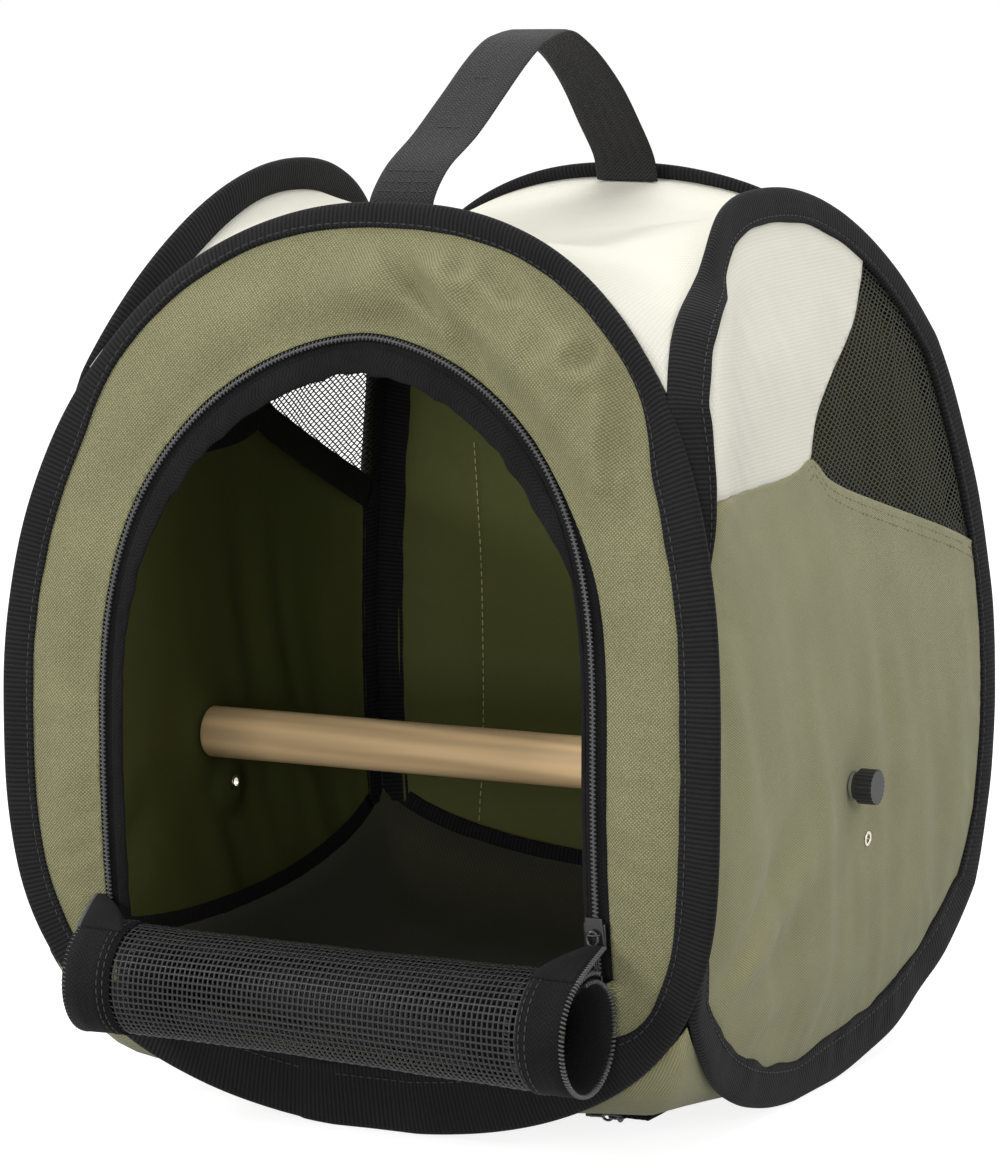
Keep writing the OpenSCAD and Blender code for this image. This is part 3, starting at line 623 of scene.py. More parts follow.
def add(tree, kind, sockets=None, **settings):
    """Adds a node, sets it up, links or fills its sockets and returns its outputs."""
    node = tree.nodes.new(kind)
    for key, value in settings.items():
        setattr(node, key, value)
    for key, value in (sockets or {}).items():
        if isinstance(value, bpy.types.NodeSocket):
            tree.links.new(value, node.inputs[key])
        else:
            node.inputs[key].default_value = value
    return node.outputs


def new_material(name, roughness, **constants):
    """A material with a bare shader, whose constants sit on its own sockets."""
    material = bpy.data.materials.new(name)
    material.use_nodes = True
    shader = material.node_tree.nodes["Principled BSDF"]
    for key, value in {"Roughness": roughness, **constants}.items():
        shader.inputs[key.replace("_", " ")].default_value = value
    return material, material.node_tree, shader


def link_up(tree, shader, **sockets):
    for key, value in sockets.items():
        tree.links.new(value, shader.inputs[key.replace("_", " ")])


def two_tone(colour, dark, light):
    """The two colours of a mix."""
    return {6: linear(shade(colour, dark)), 7: linear(shade(colour, light))}


def ribs(tree, coordinate, pitch):
    """Even ribs from 0 to 1 along a coordinate in metres."""
    turn = add(tree, MATH, {0: coordinate, 1: 2 * math.pi / pitch}, operation="MULTIPLY")[0]
    wave = add(tree, MATH, {0: turn}, operation="SINE")[0]
    return add(tree, MATH, {0: wave, 1: 0.5, 2: 0.5}, operation="MULTIPLY_ADD")[0]


def crossed(pitch, operation):
    """Ribs both ways: their difference is a basket weave and their product a plain one."""
    def draw(tree, u, v):
        both = add(tree, MATH, {0: ribs(tree, u, pitch), 1: ribs(tree, v, pitch)}, operation=operation)[0]
        return add(tree, MATH, {0: both}, operation="ABSOLUTE")[0]
    return draw


def slanted(pitch, slope, turns=None):
    """Ribs at a slope. Where turns is given, they turn back at that width, as in a herringbone."""
    def draw(tree, u, v):
        if turns:
            v = add(tree, MATH, {0: v, 1: turns}, operation="PINGPONG")[0]
        return ribs(tree, add(tree, MATH, {0: v, 1: slope, 2: u}, operation="MULTIPLY_ADD")[0], pitch)
    return draw


def woven(name, roughness, sheen, gloss, draw, colour, dark, light, relief, patches, fuzz=0.25):
    """A cloth. draw gives its weave's height, which raises it and colours it: painted shade in the weave's hollows and
    painted light on its crests, with loose fibres and uneven dye.
    """
    material, tree, shader = new_material(name, roughness, Sheen_Weight=sheen, Specular_IOR_Level=gloss)
    u, v = add(tree, "ShaderNodeSeparateXYZ", {0: add(tree, "ShaderNodeUVMap")[0]})[:2]
    place = add(tree, PLACE)["Object"]
    dye = add(tree, NOISE, {"Vector": place, "Scale": 38.0, "Detail": 3.0})["Fac"]
    fibre = add(tree, NOISE, {"Vector": place, "Scale": 1900.0, "Detail": 2.0})["Fac"]
    rough = add(tree, RANGE, {**MIDDLE, "Value": fibre, "To Min": -fuzz, "To Max": fuzz})[0]
    level = add(tree, MATH, {0: draw(tree, u, v), 1: rough}, operation="ADD", use_clamp=True)[0]
    # Painted shade and light: the weave's hollows are coloured darker and its crests lighter, following its height
    weave = add(tree, MIX, {"Factor": level, **two_tone(colour, dark, light)}, data_type="RGBA")[2]
    tone = add(tree, RANGE, {**MIDDLE, "Value": dye, "To Min": 1 - patches, "To Max": 1 + patches})[0]
    dyed = add(tree, "ShaderNodeHueSaturation", {"Color": weave, "Value": tone})[0]
    raised = add(tree, BUMP, {"Height": level, "Strength": 0.7, "Distance": relief})[0]
    link_up(tree, shader, Base_Color=dyed, Normal=raised)
    return material


def speckled(name, colour, roughness, spread, scale, relief=0.05 * MM, **constants):
    """A plain material with fine uneven tone, gloss and relief."""
    material, tree, shader = new_material(name, roughness, **constants)
    grains = add(tree, NOISE, {"Vector": add(tree, PLACE)["Object"], "Scale": scale, "Detail": 3.0})["Fac"]
    tone = add(tree, MIX, {"Factor": grains, **two_tone(colour, 1 - spread, 1 + spread)}, data_type="RGBA")[2]
    gloss = add(tree, RANGE, {**MIDDLE, "Value": grains, "To Min": roughness - 0.08, "To Max": roughness + 0.08})[0]
    raised = add(tree, BUMP, {"Height": grains, "Strength": 0.5, "Distance": relief})[0]
    link_up(tree, shader, Base_Color=tone, Roughness=gloss, Normal=raised)
    return material


def perch_wood():
    # Sanded pine dowel: long straight grain, paler spring wood between tan lines, satin to the touch. Its pale colour
    # is partly painted light, for light the perch lacks inside the cabin
    material, tree, shader = new_material("sanded_pine", 0.5, Specular_IOR_Level=0.35)
    place = add(tree, "ShaderNodeMapping", {"Vector": add(tree, PLACE)["Object"], "Scale": (0.06, 1.0, 1.0)})[0]
    bend = add(tree, NOISE, {"Vector": place, "Scale": 90.0, "Detail": 3.0})["Fac"]
    rings = add(tree, "ShaderNodeTexWave", {"Vector": place, "Scale": 65.0, "Distortion": 4.5, "Detail": 2.0,
                                            "Detail Scale": 1.5}, bands_direction="DIAGONAL")["Fac"]
    pores = add(tree, NOISE, {"Vector": place, "Scale": 1400.0, "Detail": 2.0})["Fac"]
    pale = add(tree, MIX, {"Factor": rings, **two_tone(colours().wood, 1.07, 0.93)}, data_type="RGBA")[2]
    warm = add(tree, RANGE, {**MIDDLE, "Value": bend, "To Min": 0.93, "To Max": 1.07})[0]
    grain = add(tree, "ShaderNodeHueSaturation", {"Color": pale, "Value": warm})[0]
    raised = add(tree, BUMP, {"Height": pores, "Strength": 0.4, "Distance": 0.05 * MM})[0]
    link_up(tree, shader, Base_Color=grain, Normal=raised)
    return material


def make_materials():
    black, olive, cream = colours().black, colours().olive, colours().cream
    MATERIALS.update({
        # 600D polyester oxford: a coarse basket weave with a faint sheen. Its threads are drawn coarser than the
        # real ones, so that the basket shows in the render.
        "oxford": woven("polyester_oxford_olive", 0.88, 0.03, 0.2, crossed(1.25 * MM, "SUBTRACT"), olive, 0.74, 1.14,
                        0.3 * MM, 0.06),
        # Polyester twill: fine diagonal ribs, drawn about twice as coarse as the real ones so that they show
        "twill": woven("polyester_twill_olive", 0.85, 0.15, 0.25, slanted(1.5 * MM, 1.6), olive, 0.86, 1.08,
                       0.12 * MM, 0.05),
        # Floor lining twill: its dark olive is partly painted shade, for the shade on the cabin's floor
        "lining": woven("lining_twill_olive", 0.85, 0.15, 0.25, slanted(1.6 * MM, 1.6), "#3c3b2d", 0.85, 1.1,
                        0.12 * MM, 0.05),
        # Polyurethane coating on the back of the cloth: smooth, darker and greener than its face. Its darkness is
        # partly painted shade, for the shade inside the cabin
        "coating": speckled("polyurethane_cloth_coating", "#52562c", 0.75, 0.06, 300.0, Specular_IOR_Level=0.2),
        # Cream polyester canvas: a fine plain weave, almost smooth at this distance
        "canvas": woven("polyester_canvas_cream", 0.85, 0.1, 0.25, crossed(1.3 * MM, "MULTIPLY"), cream, 0.955, 1.02,
                        0.08 * MM, 0.02, 0.15),
        # Grosgrain ribbon: round ribs across the tape, matt black with a painted sheen: each rib's crest is coloured
        # paler than its sides
        "grosgrain": woven("grosgrain_black", 0.8, 0.02, 0.1, slanted(sizes().rib_pitch, 0.0), black, 0.62, 1.3,
                           0.35 * MM, 0.12, 0.2),
        # Zip tape: a flat woven polyester tape with a fine herringbone, a little fluffy at its edge
        "tape": woven("zip_tape_black", 0.9, 0.02, 0.1, slanted(1.5 * MM, 1.2, 1.5 * MM), black, 0.6, 1.05,
                      0.2 * MM, 0.25, 0.45),
        # Polypropylene webbing: a bold herringbone of thick yarns, with a painted glint: each yarn's crest is coloured
        # much paler than its hollows
        "webbing": woven("webbing_black", 0.7, 0.03, 0.2, slanted(1.5 * MM, 1.1, 2.1 * MM), black, 0.5, 1.6,
                         0.4 * MM, 0.08, 0.3),
        "wood": perch_wood(),
        # Knitted polyester net: thin matt yarn
        "net": speckled("polyester_net_black", "#3c3c34", 0.7, 0.2, 900.0, Specular_IOR_Level=0.15),
        # Coated screen mesh: yarns in a smooth vinyl coat that catches light on each strand
        "screen": speckled("vinyl_coated_mesh_black", shade(black, 0.75), 0.42, 0.15, 700.0, Specular_IOR_Level=0.35),
        # Nylon coil: smooth drawn black monofilament, satin; its grey colour is partly painted glint, for the silvery
        # look of its turns
        "nylon": speckled("nylon_coil_grey", "#3a3a3b", 0.34, 0.1, 500.0, 0.02 * MM),
        # Zinc slider under black lacquer, worn a little paler in patches
        "lacquer": speckled("black_lacquered_zinc", shade(black, 0.7), 0.36, 0.25, 260.0, 0.02 * MM, Coat_Weight=0.3),
        # Zinc-plated steel: bolts, washers and the hidden spring wire
        "zinc": speckled("zinc_plated_steel", "#a9acad", 0.36, 0.06, 600.0, 0.01 * MM, Metallic=1.0),
        # Nickel-plated brass eyelet: pale, pressed and slightly brushed
        "nickel": speckled("nickel_plated_eyelet", "#cfcabb", 0.3, 0.05, 900.0, 0.01 * MM, Metallic=1.0),
        # ABS knob, moulded with a fine matt grain
        "knob": speckled("moulded_abs_black", shade(black, 0.75), 0.5, 0.2, 1200.0, 0.04 * MM),
        # Sewing thread: spun polyester, matt
        "thread_olive": speckled("sewing_thread_olive", shade(olive, 0.78), 0.8, 0.12, 1500.0),
        "thread_pale": speckled("sewing_thread_pale", shade(olive, 1.25), 0.8, 0.12, 1500.0),
        "thread_black": speckled("sewing_thread_black", shade(black, 1.15), 0.7, 0.2, 1500.0),
        # Hardboard floor: brown pressed fibre
        "board": speckled("pressed_hardboard", "#6d543c", 0.7, 0.15, 400.0),
    })


def set_material(piece, name, slot):
    piece.data.materials.clear()
    piece.data.materials.append(MATERIALS[name])


def sewn(piece, name, slot, *nodes, body="root"):
    """Dresses a finished piece, sets it on its body if it is given one, and lets it stand for its CAD nodes.
    A piece that bends between two bodies gets no body here.
    """
    set_material(piece, name, slot)
    if body:
        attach(piece, body)
    if nodes:
        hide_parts(*nodes)
    return piece


def flat_area(piece):
    """Half the area of a sheet that has both faces, in square metres."""
    return sum(face.area for face in piece.data.polygons) / 2


# ---------------------------------------------------------------- the operators that make the pieces


class CARRIER_OT_materials(bpy.types.Operator):
    """Makes the cloths, tapes, plastics, metals and wood"""
    bl_idname = "carrier.materials"
    bl_label = "Materials"

    def execute(self, context):
        make_materials()
        for material, slot, names in (
                ("zinc", "spring_wire", ("front_hoop_wire", "rear_hoop_wire")), ("board", "board", ("floor_board",)),
                ("zinc", "bolt_metal", ("perch_bolts", "left_washer", "right_washer")),
                ("knob", "knob_plastic", ("left_knob", "right_knob"))):
            for name in names:
                set_material(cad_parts[name], material, slot)
        return {"FINISHED"}


# Half of the folded tape's outline, in millimetres from the rim inwards and from its middle outwards
TAPE_SECTION = [(0.0, 0.0), (0.3, 0.95), (1.0, 1.62), (2.3, 1.98), (4.4, 1.95), (6.4, 1.7), (8.0, 1.5), (9.3, 1.25),
                (10.1, 0.95), (10.8, 1.2), (11.6, 1.1), (12.0, 0.6)]
WIRE_SECTION = ((1.45, -0.6), (4.95, -0.6), (4.95, 0.6), (1.45, 0.6))


class CARRIER_OT_bindings(bpy.types.Operator):
    """Folds a grosgrain binding round each of the four hoops, and bends the side hoops' wires to lie in theirs"""
    bl_idname = "carrier.bindings"
    bl_label = "Bindings"

    def binding(self, wall, seed, points, normals, total):
        """Makes a hoop's folded tape, and returns the line of its stitches."""
        section = [*TAPE_SECTION, *[(w, -h) for w, h in TAPE_SECTION[:0:-1]]]
        around = girth(section)
        rows, uvs, seam = [], [], []
        for i, (p, inwards) in enumerate(zip(points, normals)):
            turn, wide = turned(wall, p.x, p.y), band_width(wall, p.x, p.y) / (12 * MM)
            s, low = total * i / len(points), 1 - between(p.y, 0.0, 0.06)
            loose = low * (wall in SIDES)
            bend = (0.3 + 1.5 * loose) * ripple((s, 0.0), 0.03, seed) * between(p.y, 0.0, 0.012)
            waver = (0.5 + 0.9 * loose) * ripple((s, 0.0), 0.016, seed + 5)
            lapped = 0.7 * (wall == "front") * low * between(p.x, -0.030, -0.028) * (1 - between(p.x, -0.028, 0.0))

            def place(w, h):
                x = (w - 3) * (wide if w > 3 else 1)
                q = p + inwards * (3 + x * math.cos(turn) - h * math.sin(turn)) * MM
                point = on_wall(wall, q.x, max(q.y, 0.0), (x * math.sin(turn) + h * math.cos(turn)) * MM)
                point.z = max(point.z, 0.0)
                return point

            row = []
            for w, h in section:
                fold = (0.3 + 0.5 * loose) * ripple((s, w * MM), 0.010, seed + 9) * (w > 6) * (h > 0)
                full = h * (1 + 0.12 * ripple((s, w * MM), 0.022, seed + 3))
                row.append(place(w + waver * (w > 11), full + bend + fold + lapped * (h > 0)))
            rows.append(row)
            uvs.append([(s, v) for v in around])
            seam.append(place(10.1, 1.15 + bend))
        uvs.append([(total, v) for v in around])
        piece = grid_piece(wall + "_grosgrain", rows, uvs, ring=True)
        sewn(finish_mesh(piece, outwards=True), "grosgrain", "binding", wall + "_binding")
        return seam + seam[:1]

    def execute(self, context):
        n = 420
        for seed, wall in enumerate(("front", "rear", "left", "right")):
            points, normals, total = rim_line(wall != "front", n)
            seam = self.binding(wall, seed, points, normals, total)
            if wall in SIDES:
                rows = [[on_wall(wall, *(p + w * MM * inwards), h * MM) for w, h in WIRE_SECTION]
                        for p, inwards in zip(points, normals)]
                uvs = [[(total * i / n, k * 2.35 * MM) for k in range(5)] for i in range(n + 1)]
                wire = finish_mesh(grid_piece(wall + "_spring_wire", rows, uvs, ring=True), outwards=True)
                sewn(wire, "zinc", "spring_wire", wall + "_hoop_wire")
            if wall in ("front", "right"):
                ups = [wall_out(wall, p.x, p.y) for p in points]
                sewn(stitch_row(wall + "_binding_stitches", seam, ups), "thread_black", "binding")
        return {"FINISHED"}


# ---------------------------------------------------------------- cloth walls

# Where cloth and net meet on the side walls. The left wall has sagged, so its hem lies higher in the middle.
HEMS = {
    "right": smooth_line([(-0.142, 0.2247), (-0.100, 0.2247), (-0.044, 0.2247)], 3)
    + smooth_line([(-0.032, 0.226), (-0.020, 0.230)], 2)
    + smooth_line([(-0.012, 0.2215), (0.003, 0.2155), (0.035, 0.206), (0.068, 0.1965), (0.142, 0.175)], 4),
    "left": smooth_line([(-0.142, 0.2247), (-0.060, 0.2247), (0.000, 0.2247)], 3)
    + smooth_line([(0.010, 0.2255), (0.022, 0.2290)], 2)
    + smooth_line([(0.030, 0.2245), (0.040, 0.2200), (0.065, 0.2090), (0.100, 0.1940), (0.142, 0.176)], 4)}
# The number of a hem's point at which cream, olive and net meet
MEETING = 9
CREAMS = {
    "right": smooth_line([(-0.020, 0.230), (-0.008, 0.242), (0.008, 0.253), (0.026, 0.2615), (0.046, 0.272),
                          (0.064, 0.2855), (0.078, 0.298), (0.090, 0.318)], 4),
    "left": smooth_line([(0.022, 0.229), (0.028, 0.242), (0.038, 0.253), (0.050, 0.265), (0.062, 0.277),
                         (0.072, 0.288), (0.082, 0.300), (0.092, 0.318)], 4)}
# Where the front cloth is creased at its crown: how deep and how wide in millimetres, then its line up the wall
CREASES = ((4.8, 3.2, [(-0.0006, 0.3110), (0.0085, 0.2975), (0.0196, 0.2887), (0.0307, 0.2786), (0.0405, 0.2708)]),
           (4.4, 2.8, [(0.0270, 0.3080), (0.0307, 0.2973)]),
           (5.2, 3.0, [(0.0385, 0.3045), (0.0440, 0.2971), (0.0507, 0.2908)]),
           (2.6, 5.0, [(0.0546, 0.2900), (0.0596, 0.2820), (0.0660, 0.2750)]),
           (5.6, 3.2, [(0.0850, 0.2800), (0.0808, 0.2693)]),
           (-1.6, 2.0, [(0.0872, 0.2734), (0.0903, 0.2525), (0.0923, 0.2298)]))
# Where the rear wall's cloth is joined, and the heights between which its stitches run
REAR_JOIN_U, REAR_JOIN_LOW, REAR_STEP = 0.083, 0.055, 3 * MM


def within_band(wall, u, z):
    """How far a point of a wall lies inside its binding's inner edge."""
    return rim_depth(u, z, wall != "front") - band_width(wall, u, z)


def pucker(wall, u, z, seed):
    """Small gathers where cloth is sewn under a binding."""
    depth = within_band(wall, u, z)
    fade = between(depth, 0, 5 * MM) * (1 - between(depth, 8 * MM, 34 * MM))
    return 0.8 * MM * fade * noise.noise(Vector((math.atan2(z - 0.15, u) * 22, depth / 0.03, seed)))


def swell(wall, u, z, span):
    """From 0 at a hoop's binding to 1 well inside it."""
    return between(within_band(wall, u, z), 0.6 * MM, span)


def stand_out(wall, u, z):
    """How far the cloth stands out, or in, to follow a turned binding and meet its inner edge."""
    turn, depth = turned(wall, u, z), rim_depth(u, z, wall != "front")
    broad = (band_width(wall, u, z) - 3 * MM) * math.cos(turn)
    along = min(max(0.0, depth - 3 * MM), broad)
    under = 0.6 * MM * (1 - between(within_band(wall, u, z), 0.0, 2 * MM))
    return along * math.tan(turn) * (1 - between(depth, broad + 5 * MM, broad + 38 * MM)) - under


def creased(u, z):
    """How far the front cloth stands in or out beside its creases."""
    here, total = Vector((u, z)), 0.0
    for deep, wide, line in CREASES:
        near = 1.0
        for a, b in zip(line, line[1:]):
            a, b = Vector(a), Vector(b)
            t = min(1.0, max(0.0, (here - a).dot(b - a) / (b - a).length_squared))
            near = min(near, (here - a.lerp(b, t)).length)
        near /= wide * MM
        total += deep * MM * (0.45 * math.exp(-(near - 2.0) ** 2) - math.exp(-near * near))
    return total


def cut_outline(outline, kept, bridge):
    """The part of a closed outline where kept is true, closed over a bridge of points."""
    n = len(outline)
    start = next(i for i in range(n) if kept(outline[i]) and not kept(outline[i - 1]))

    def crossing(a, b):
        for _ in range(30):
            m = a.lerp(b, 0.5)
            a, b = (m, b) if kept(m) == kept(a) else (a, m)
        return a.lerp(b, 0.5)

    result, i = [crossing(outline[start - 1], outline[start])], start
    while kept(outline[i % n]):
        result.append(outline[i % n])
        i += 1
    return result + [crossing(outline[(i - 1) % n], outline[i % n])] + bridge


def sew_wall(piece, wall, material, slot, node):
    """Gives a wall its cloth's thickness and finish, and a coating inside if it is olive."""
    finish_mesh(piece, sizes().cloth_t, subdivide=1)
    sewn(piece, material, slot, node)
    if slot == "olive_cloth":
        piece.data.materials.append(MATERIALS["coating"])
        middle = Vector((0, CABIN_Y, 0.15))
        for face in piece.data.polygons:
            face.material_index = int(face.normal.dot(face.center - middle) < 0)
    corners = [v.co for v in piece.data.vertices]
    short, long = sorted(max(c[k] for c in corners) - min(c[k] for c in corners) for k in range(3))[1:]
    area = flat_area(piece)


def wall_stitches(name, wall, line, place, lift, thread):
    """Stitches along a 2D line on a wall, lifted off the cloth that place gives."""
    ups = [wall_out(wall, p.x, p.y) for p in line]
    points = [place(p.x, p.y) + up * lift for p, up in zip(line, ups)]
    sewn(stitch_row(name, points, ups), thread, "olive_cloth")


class CARRIER_OT_front_wall(bpy.types.Operator):
    """Cuts the front cloth round the doorway and puffs it out between the hoop and the zip"""
    bl_idname = "carrier.front_wall"
    bl_label = "Front wall"

    def place(self, u, z):
        door, depth = door_depth(u, z) - 2 * MM, rim_depth(u, z)
        angle = math.atan2(z - 0.17, u - DOOR_X)
        crown = between(angle, 0.30, 0.75) * (1 - between(angle, 1.45, 1.85))
        puff = swell("front", u, z, (22 - 12 * crown) * MM) * between(door, 0, (17 - 6 * crown) * MM)
        pleat = noise.noise(Vector((angle * 3.8 + 16 * (depth - 0.02), depth / 0.12, 4.0)))
        folds = 1.2 * (0.5 - abs(pleat) * 2.6) + 0.35 * noise.noise(Vector((angle * 9 + 9 * depth, depth / 0.08, 9.0)))
        soft = 1.8 * MM * ripple((u, z), 0.045, 7.0) + 0.6 * MM * ripple((u, z), 0.018, 17.0)
        hem = -0.6 * MM * math.exp(-((door - 3.0 * MM) / (1.3 * MM)) ** 2)
        inner = swell("front", u, z, 8 * MM) * between(door, 0, 7 * MM)
        out = (5.0 + 4.0 * crown) * MM * puff + (3.5 * MM * crown * folds + soft + creased(u, z)) * inner
        out += hem + pucker("front", u, z, 1.0)
        least = 0.4 * MM * between(door, 2 * MM, 6 * MM) - 0.2 * MM
        return on_wall("front", u, z, max(out, least) + stand_out("front", u, z))

    def execute(self, context):
        edge = door_line(1.5 * MM, SILL_Z, 120)
        for p in edge:
            p.x += 3.6 * MM * between(p.x, 0.060, 0.088) * (1 - between(p.y, 0.185, 0.240))
        piece = region_piece("front_cloth", rim_outline(False), self.place, 3.1 * MM, [edge])
        sew_wall(piece, "front", "oxford", "olive_cloth", "front_panel")
        return {"FINISHED"}


class CARRIER_OT_rear_wall(bpy.types.Operator):
    """Stretches the rear cloth in its hoop, with the stitched join that shows inside"""
    bl_idname = "carrier.rear_wall"
    bl_label = "Rear wall"

    def place(self, u, z):
        join = -0.8 * MM * math.exp(-((u - REAR_JOIN_U) / (1.5 * MM)) ** 2) * between(z, 0.05, 0.06)
        soft = 1.3 * MM * ripple((u, z), 0.05, 21.0)
        return on_wall("rear", u, z, (2.5 * MM + soft) * swell("rear", u, z, 30 * MM) + join
                       + pucker("rear", u, z, 5.0) + stand_out("rear", u, z))

    def execute(self, context):
        piece = region_piece("rear_cloth", rim_outline(True), self.place, 4.5 * MM)
        sew_wall(piece, "rear", "oxford", "olive_cloth", "rear_panel")
        line = [Vector((REAR_JOIN_U, REAR_JOIN_LOW + REAR_STEP * i)) for i in range(52)]
        for name, lift in (("inner", -0.75 * MM), ("outer", 0.6 * MM)):
            wall_stitches(f"rear_join_{name}_stitches", "rear", line, self.place, lift, "thread_pale")
        return {"FINISHED"}


class CARRIER_OT_side_walls(bpy.types.Operator):
    """Sews each side wall: olive cloth below the hem, cream cloth above it, and a net window behind"""
    bl_idname = "carrier.side_walls"
    bl_label = "Side walls"

    def place_low(self, side):
        left = side == "left"

        def place(u, z):
            top = read_off(HEMS[side], u) - z
            folds = noise.noise(Vector((u / 0.026 + z / 0.09, z / 0.14, 31.0 + left)))
            folds += 0.5 * noise.noise(Vector((u / 0.013 + z / 0.05, z / 0.07, 35.0 + left)))
            foot = noise.noise(Vector((math.atan2(z - 0.02, u + 0.15) * 6, 3.0, 51.0))) * (1 - between(z, 0.06, 0.15))
            soft = 2.2 * MM + (2.4 * folds + 4.0 * foot * between(-u, 0.0, 0.06)) * MM * between(top, 0, 60 * MM)
            soft *= swell(side, u, z, 26 * MM)
            edge = 0.45 * MM * (1 - between(top, 8.6 * MM, 9.4 * MM)) + 0.25 * MM
            groove = sum(-0.3 * MM * math.exp(-((top - g) / (0.7 * MM)) ** 2) for g in (3.2 * MM, 6.4 * MM))
            near = math.hypot(u - PERCH_Y, z - PERCH_Z)
            flat = between(near, 5 * MM, 26 * MM) * between(math.hypot(u - SPARE_Y, z - SPARE_Z), 4 * MM, 16 * MM)
            sewn_edge = (edge + groove) * swell(side, u, z, 2 * MM) + pucker(side, u, z, 8.0)
            return on_wall(side, u, z, (soft * flat + sewn_edge) * between(near, 3 * MM, 9 * MM)
                           + stand_out(side, u, z))
        return place

    def place_high(self, side):
        def place(u, z):
            folds = ripple((u, z), 0.04, 40.0 + (side == "left")) + 0.5 * ripple((2 * u, z), 0.03, 44.0)
            return on_wall(side, u, z, (2.0 * MM + 1.3 * MM * folds) * swell(side, u, z, 28 * MM)
                           + pucker(side, u, z, 12.0) + stand_out(side, u, z))
        return place

    def deep(self, line, depth):
        """The points of a line that lie at least a depth inside the hoop."""
        return [p for p in line if rim_depth(p.x, p.y, True) > depth]

    def lower(self, side):
        place, hem = self.place_low(side), HEMS[side]
        bridge = self.deep(reversed(hem), 8 * MM)
        outline = cut_outline(rim_outline(True), lambda p: p.y < read_off(hem, p.x), bridge)
        turns = [k * math.pi / 8 for k in range(16)]
        holes = [[Vector((u + 2.0 * MM * math.cos(a), z + 2.0 * MM * math.sin(a))) for a in turns]
                 for u, z in ((PERCH_Y, PERCH_Z), (SPARE_Y, SPARE_Z))]
        piece = region_piece(side + "_lower_cloth", outline, place, holes=holes)
        sew_wall(piece, side, "twill", "olive_cloth", side + "_lower_panel")
        line = self.deep(resample(hem[MEETING - 1:], 90, closed=False)[0], 11 * MM)
        for k, drop in enumerate((3.2 * MM, 6.4 * MM)):
            wall_stitches(f"{side}_hem_stitches_{k + 1}", side, line, lambda u, z: place(u, z - drop), 0.5 * MM,
                          "thread_olive")

    def upper(self, side):
        hem, cream, tuck = HEMS[side], CREAMS[side], 1.5 * MM
        bridge = [p - Vector((0, tuck)) for p in self.deep(hem[:MEETING + 1], 8 * MM)] + self.deep(cream[1:], 8 * MM)
        outline = cut_outline(rim_outline(True), lambda p: p.y > read_off(hem, p.x) - tuck
                              and p.x < read_off(cream, p.y, 1), bridge)
        piece = region_piece(side + "_upper_cloth", outline, self.place_high(side))
        sew_wall(piece, side, "canvas", "cream_cloth", side + "_upper_panel")

    def window(self, side):
        """The net, cell by cell, each a ring of four strands. Cells past the outline are left out."""
        pitch, half = sizes().net_pitch, sizes().net_strand / 2
        place = self.place_high(side)
        points, faces, index = [], [], {}

        def held(p):
            return (p.y > read_off(HEMS[side], p.x) - 5 * MM and p.x > read_off(CREAMS[side], p.y, 1) - 3 * MM
                    and rim_depth(p.x, p.y, True) > 7 * MM and p.y > 0.165)

        def point(key, p):
            if key not in index:
                index[key] = len(points)
                points.append(place(p.x, p.y) - wall_out(side, p.x, p.y) * 0.8 * MM)
            return index[key]

        step_a, step_b = Vector((pitch * 0.80, pitch * 0.48)), Vector((-pitch * 0.80, pitch * 0.48))
        start = Vector((-0.020, 0.180))
        for i in range(-40, 160):
            for j in range(-110, 110):
                corner = start + i * step_a + j * step_b
                middle = corner + 0.5 * (step_a + step_b)
                if not held(middle):
                    continue
                outer, inner = [], []
                for a, b in ((0, 0), (1, 0), (1, 1), (0, 1)):
                    p = corner + a * step_a + b * step_b
                    outer.append(point((i + a, j + b), p))
                    inner.append(point((i, j, a, b), p + (middle - p).normalized() * half * 1.414))
                faces += [(outer[k], outer[k - 3], inner[k - 3], inner[k]) for k in range(4)]
        piece = link_mesh(side + "_window_net", points, faces, smooth=False)
        finish_mesh(piece, 0.25 * MM)
        sewn(piece, "net", "mesh", side + "_mesh_window")

    def execute(self, context):
        for side in SIDES:
            self.lower(side)
            self.upper(side)
            self.window(side)
            line = self.deep(resample(HEMS[side][MEETING - 5:], 60, closed=False)[0], 6 * MM)
            tape = wall_tape(side + "_hem_band", side, line, flat_section(-6, 5.5, -1.2, 0.9))
            sewn(tape, "grosgrain", "tape", side + "_hem_tape")
        return {"FINISHED"}


# ---------------------------------------------------------------- top, floor and bottom

# How far the top, the cover and the lining reach past the corner seams' limit, and the corners of the first two
SHEET_REACH = 1.2 * MM
TOP_CORNER_Z = arc_z(seam_limit(corner_z(WIDE_Z, HOOP_H)) + SHEET_REACH, True) - 1.5 * MM
COVER_CORNER_Z = corner_z(WIDE_Z, 0.0)
FLOOR_BAND = 0.1155


def hoop_seam(wall, u):
    """The point at u along a side wall where the top is sewn under the hoop's binding."""
    z = arc_z(u, True)
    slope = (arc_z(u + 1 * MM, True) - arc_z(u - 1 * MM, True)) / (2 * MM)
    down = Vector((slope, -1)).normalized()
    deep, out = 5 * MM, -0.3 * MM
    if wall == "left":
        turn = turned(wall, u, z)
        deep, out = 3 * MM + 8 * MM * math.cos(turn), 8 * MM * math.sin(turn) - 0.6 * MM
    return on_wall(wall, u + deep * down.x, z + deep * down.y, out)


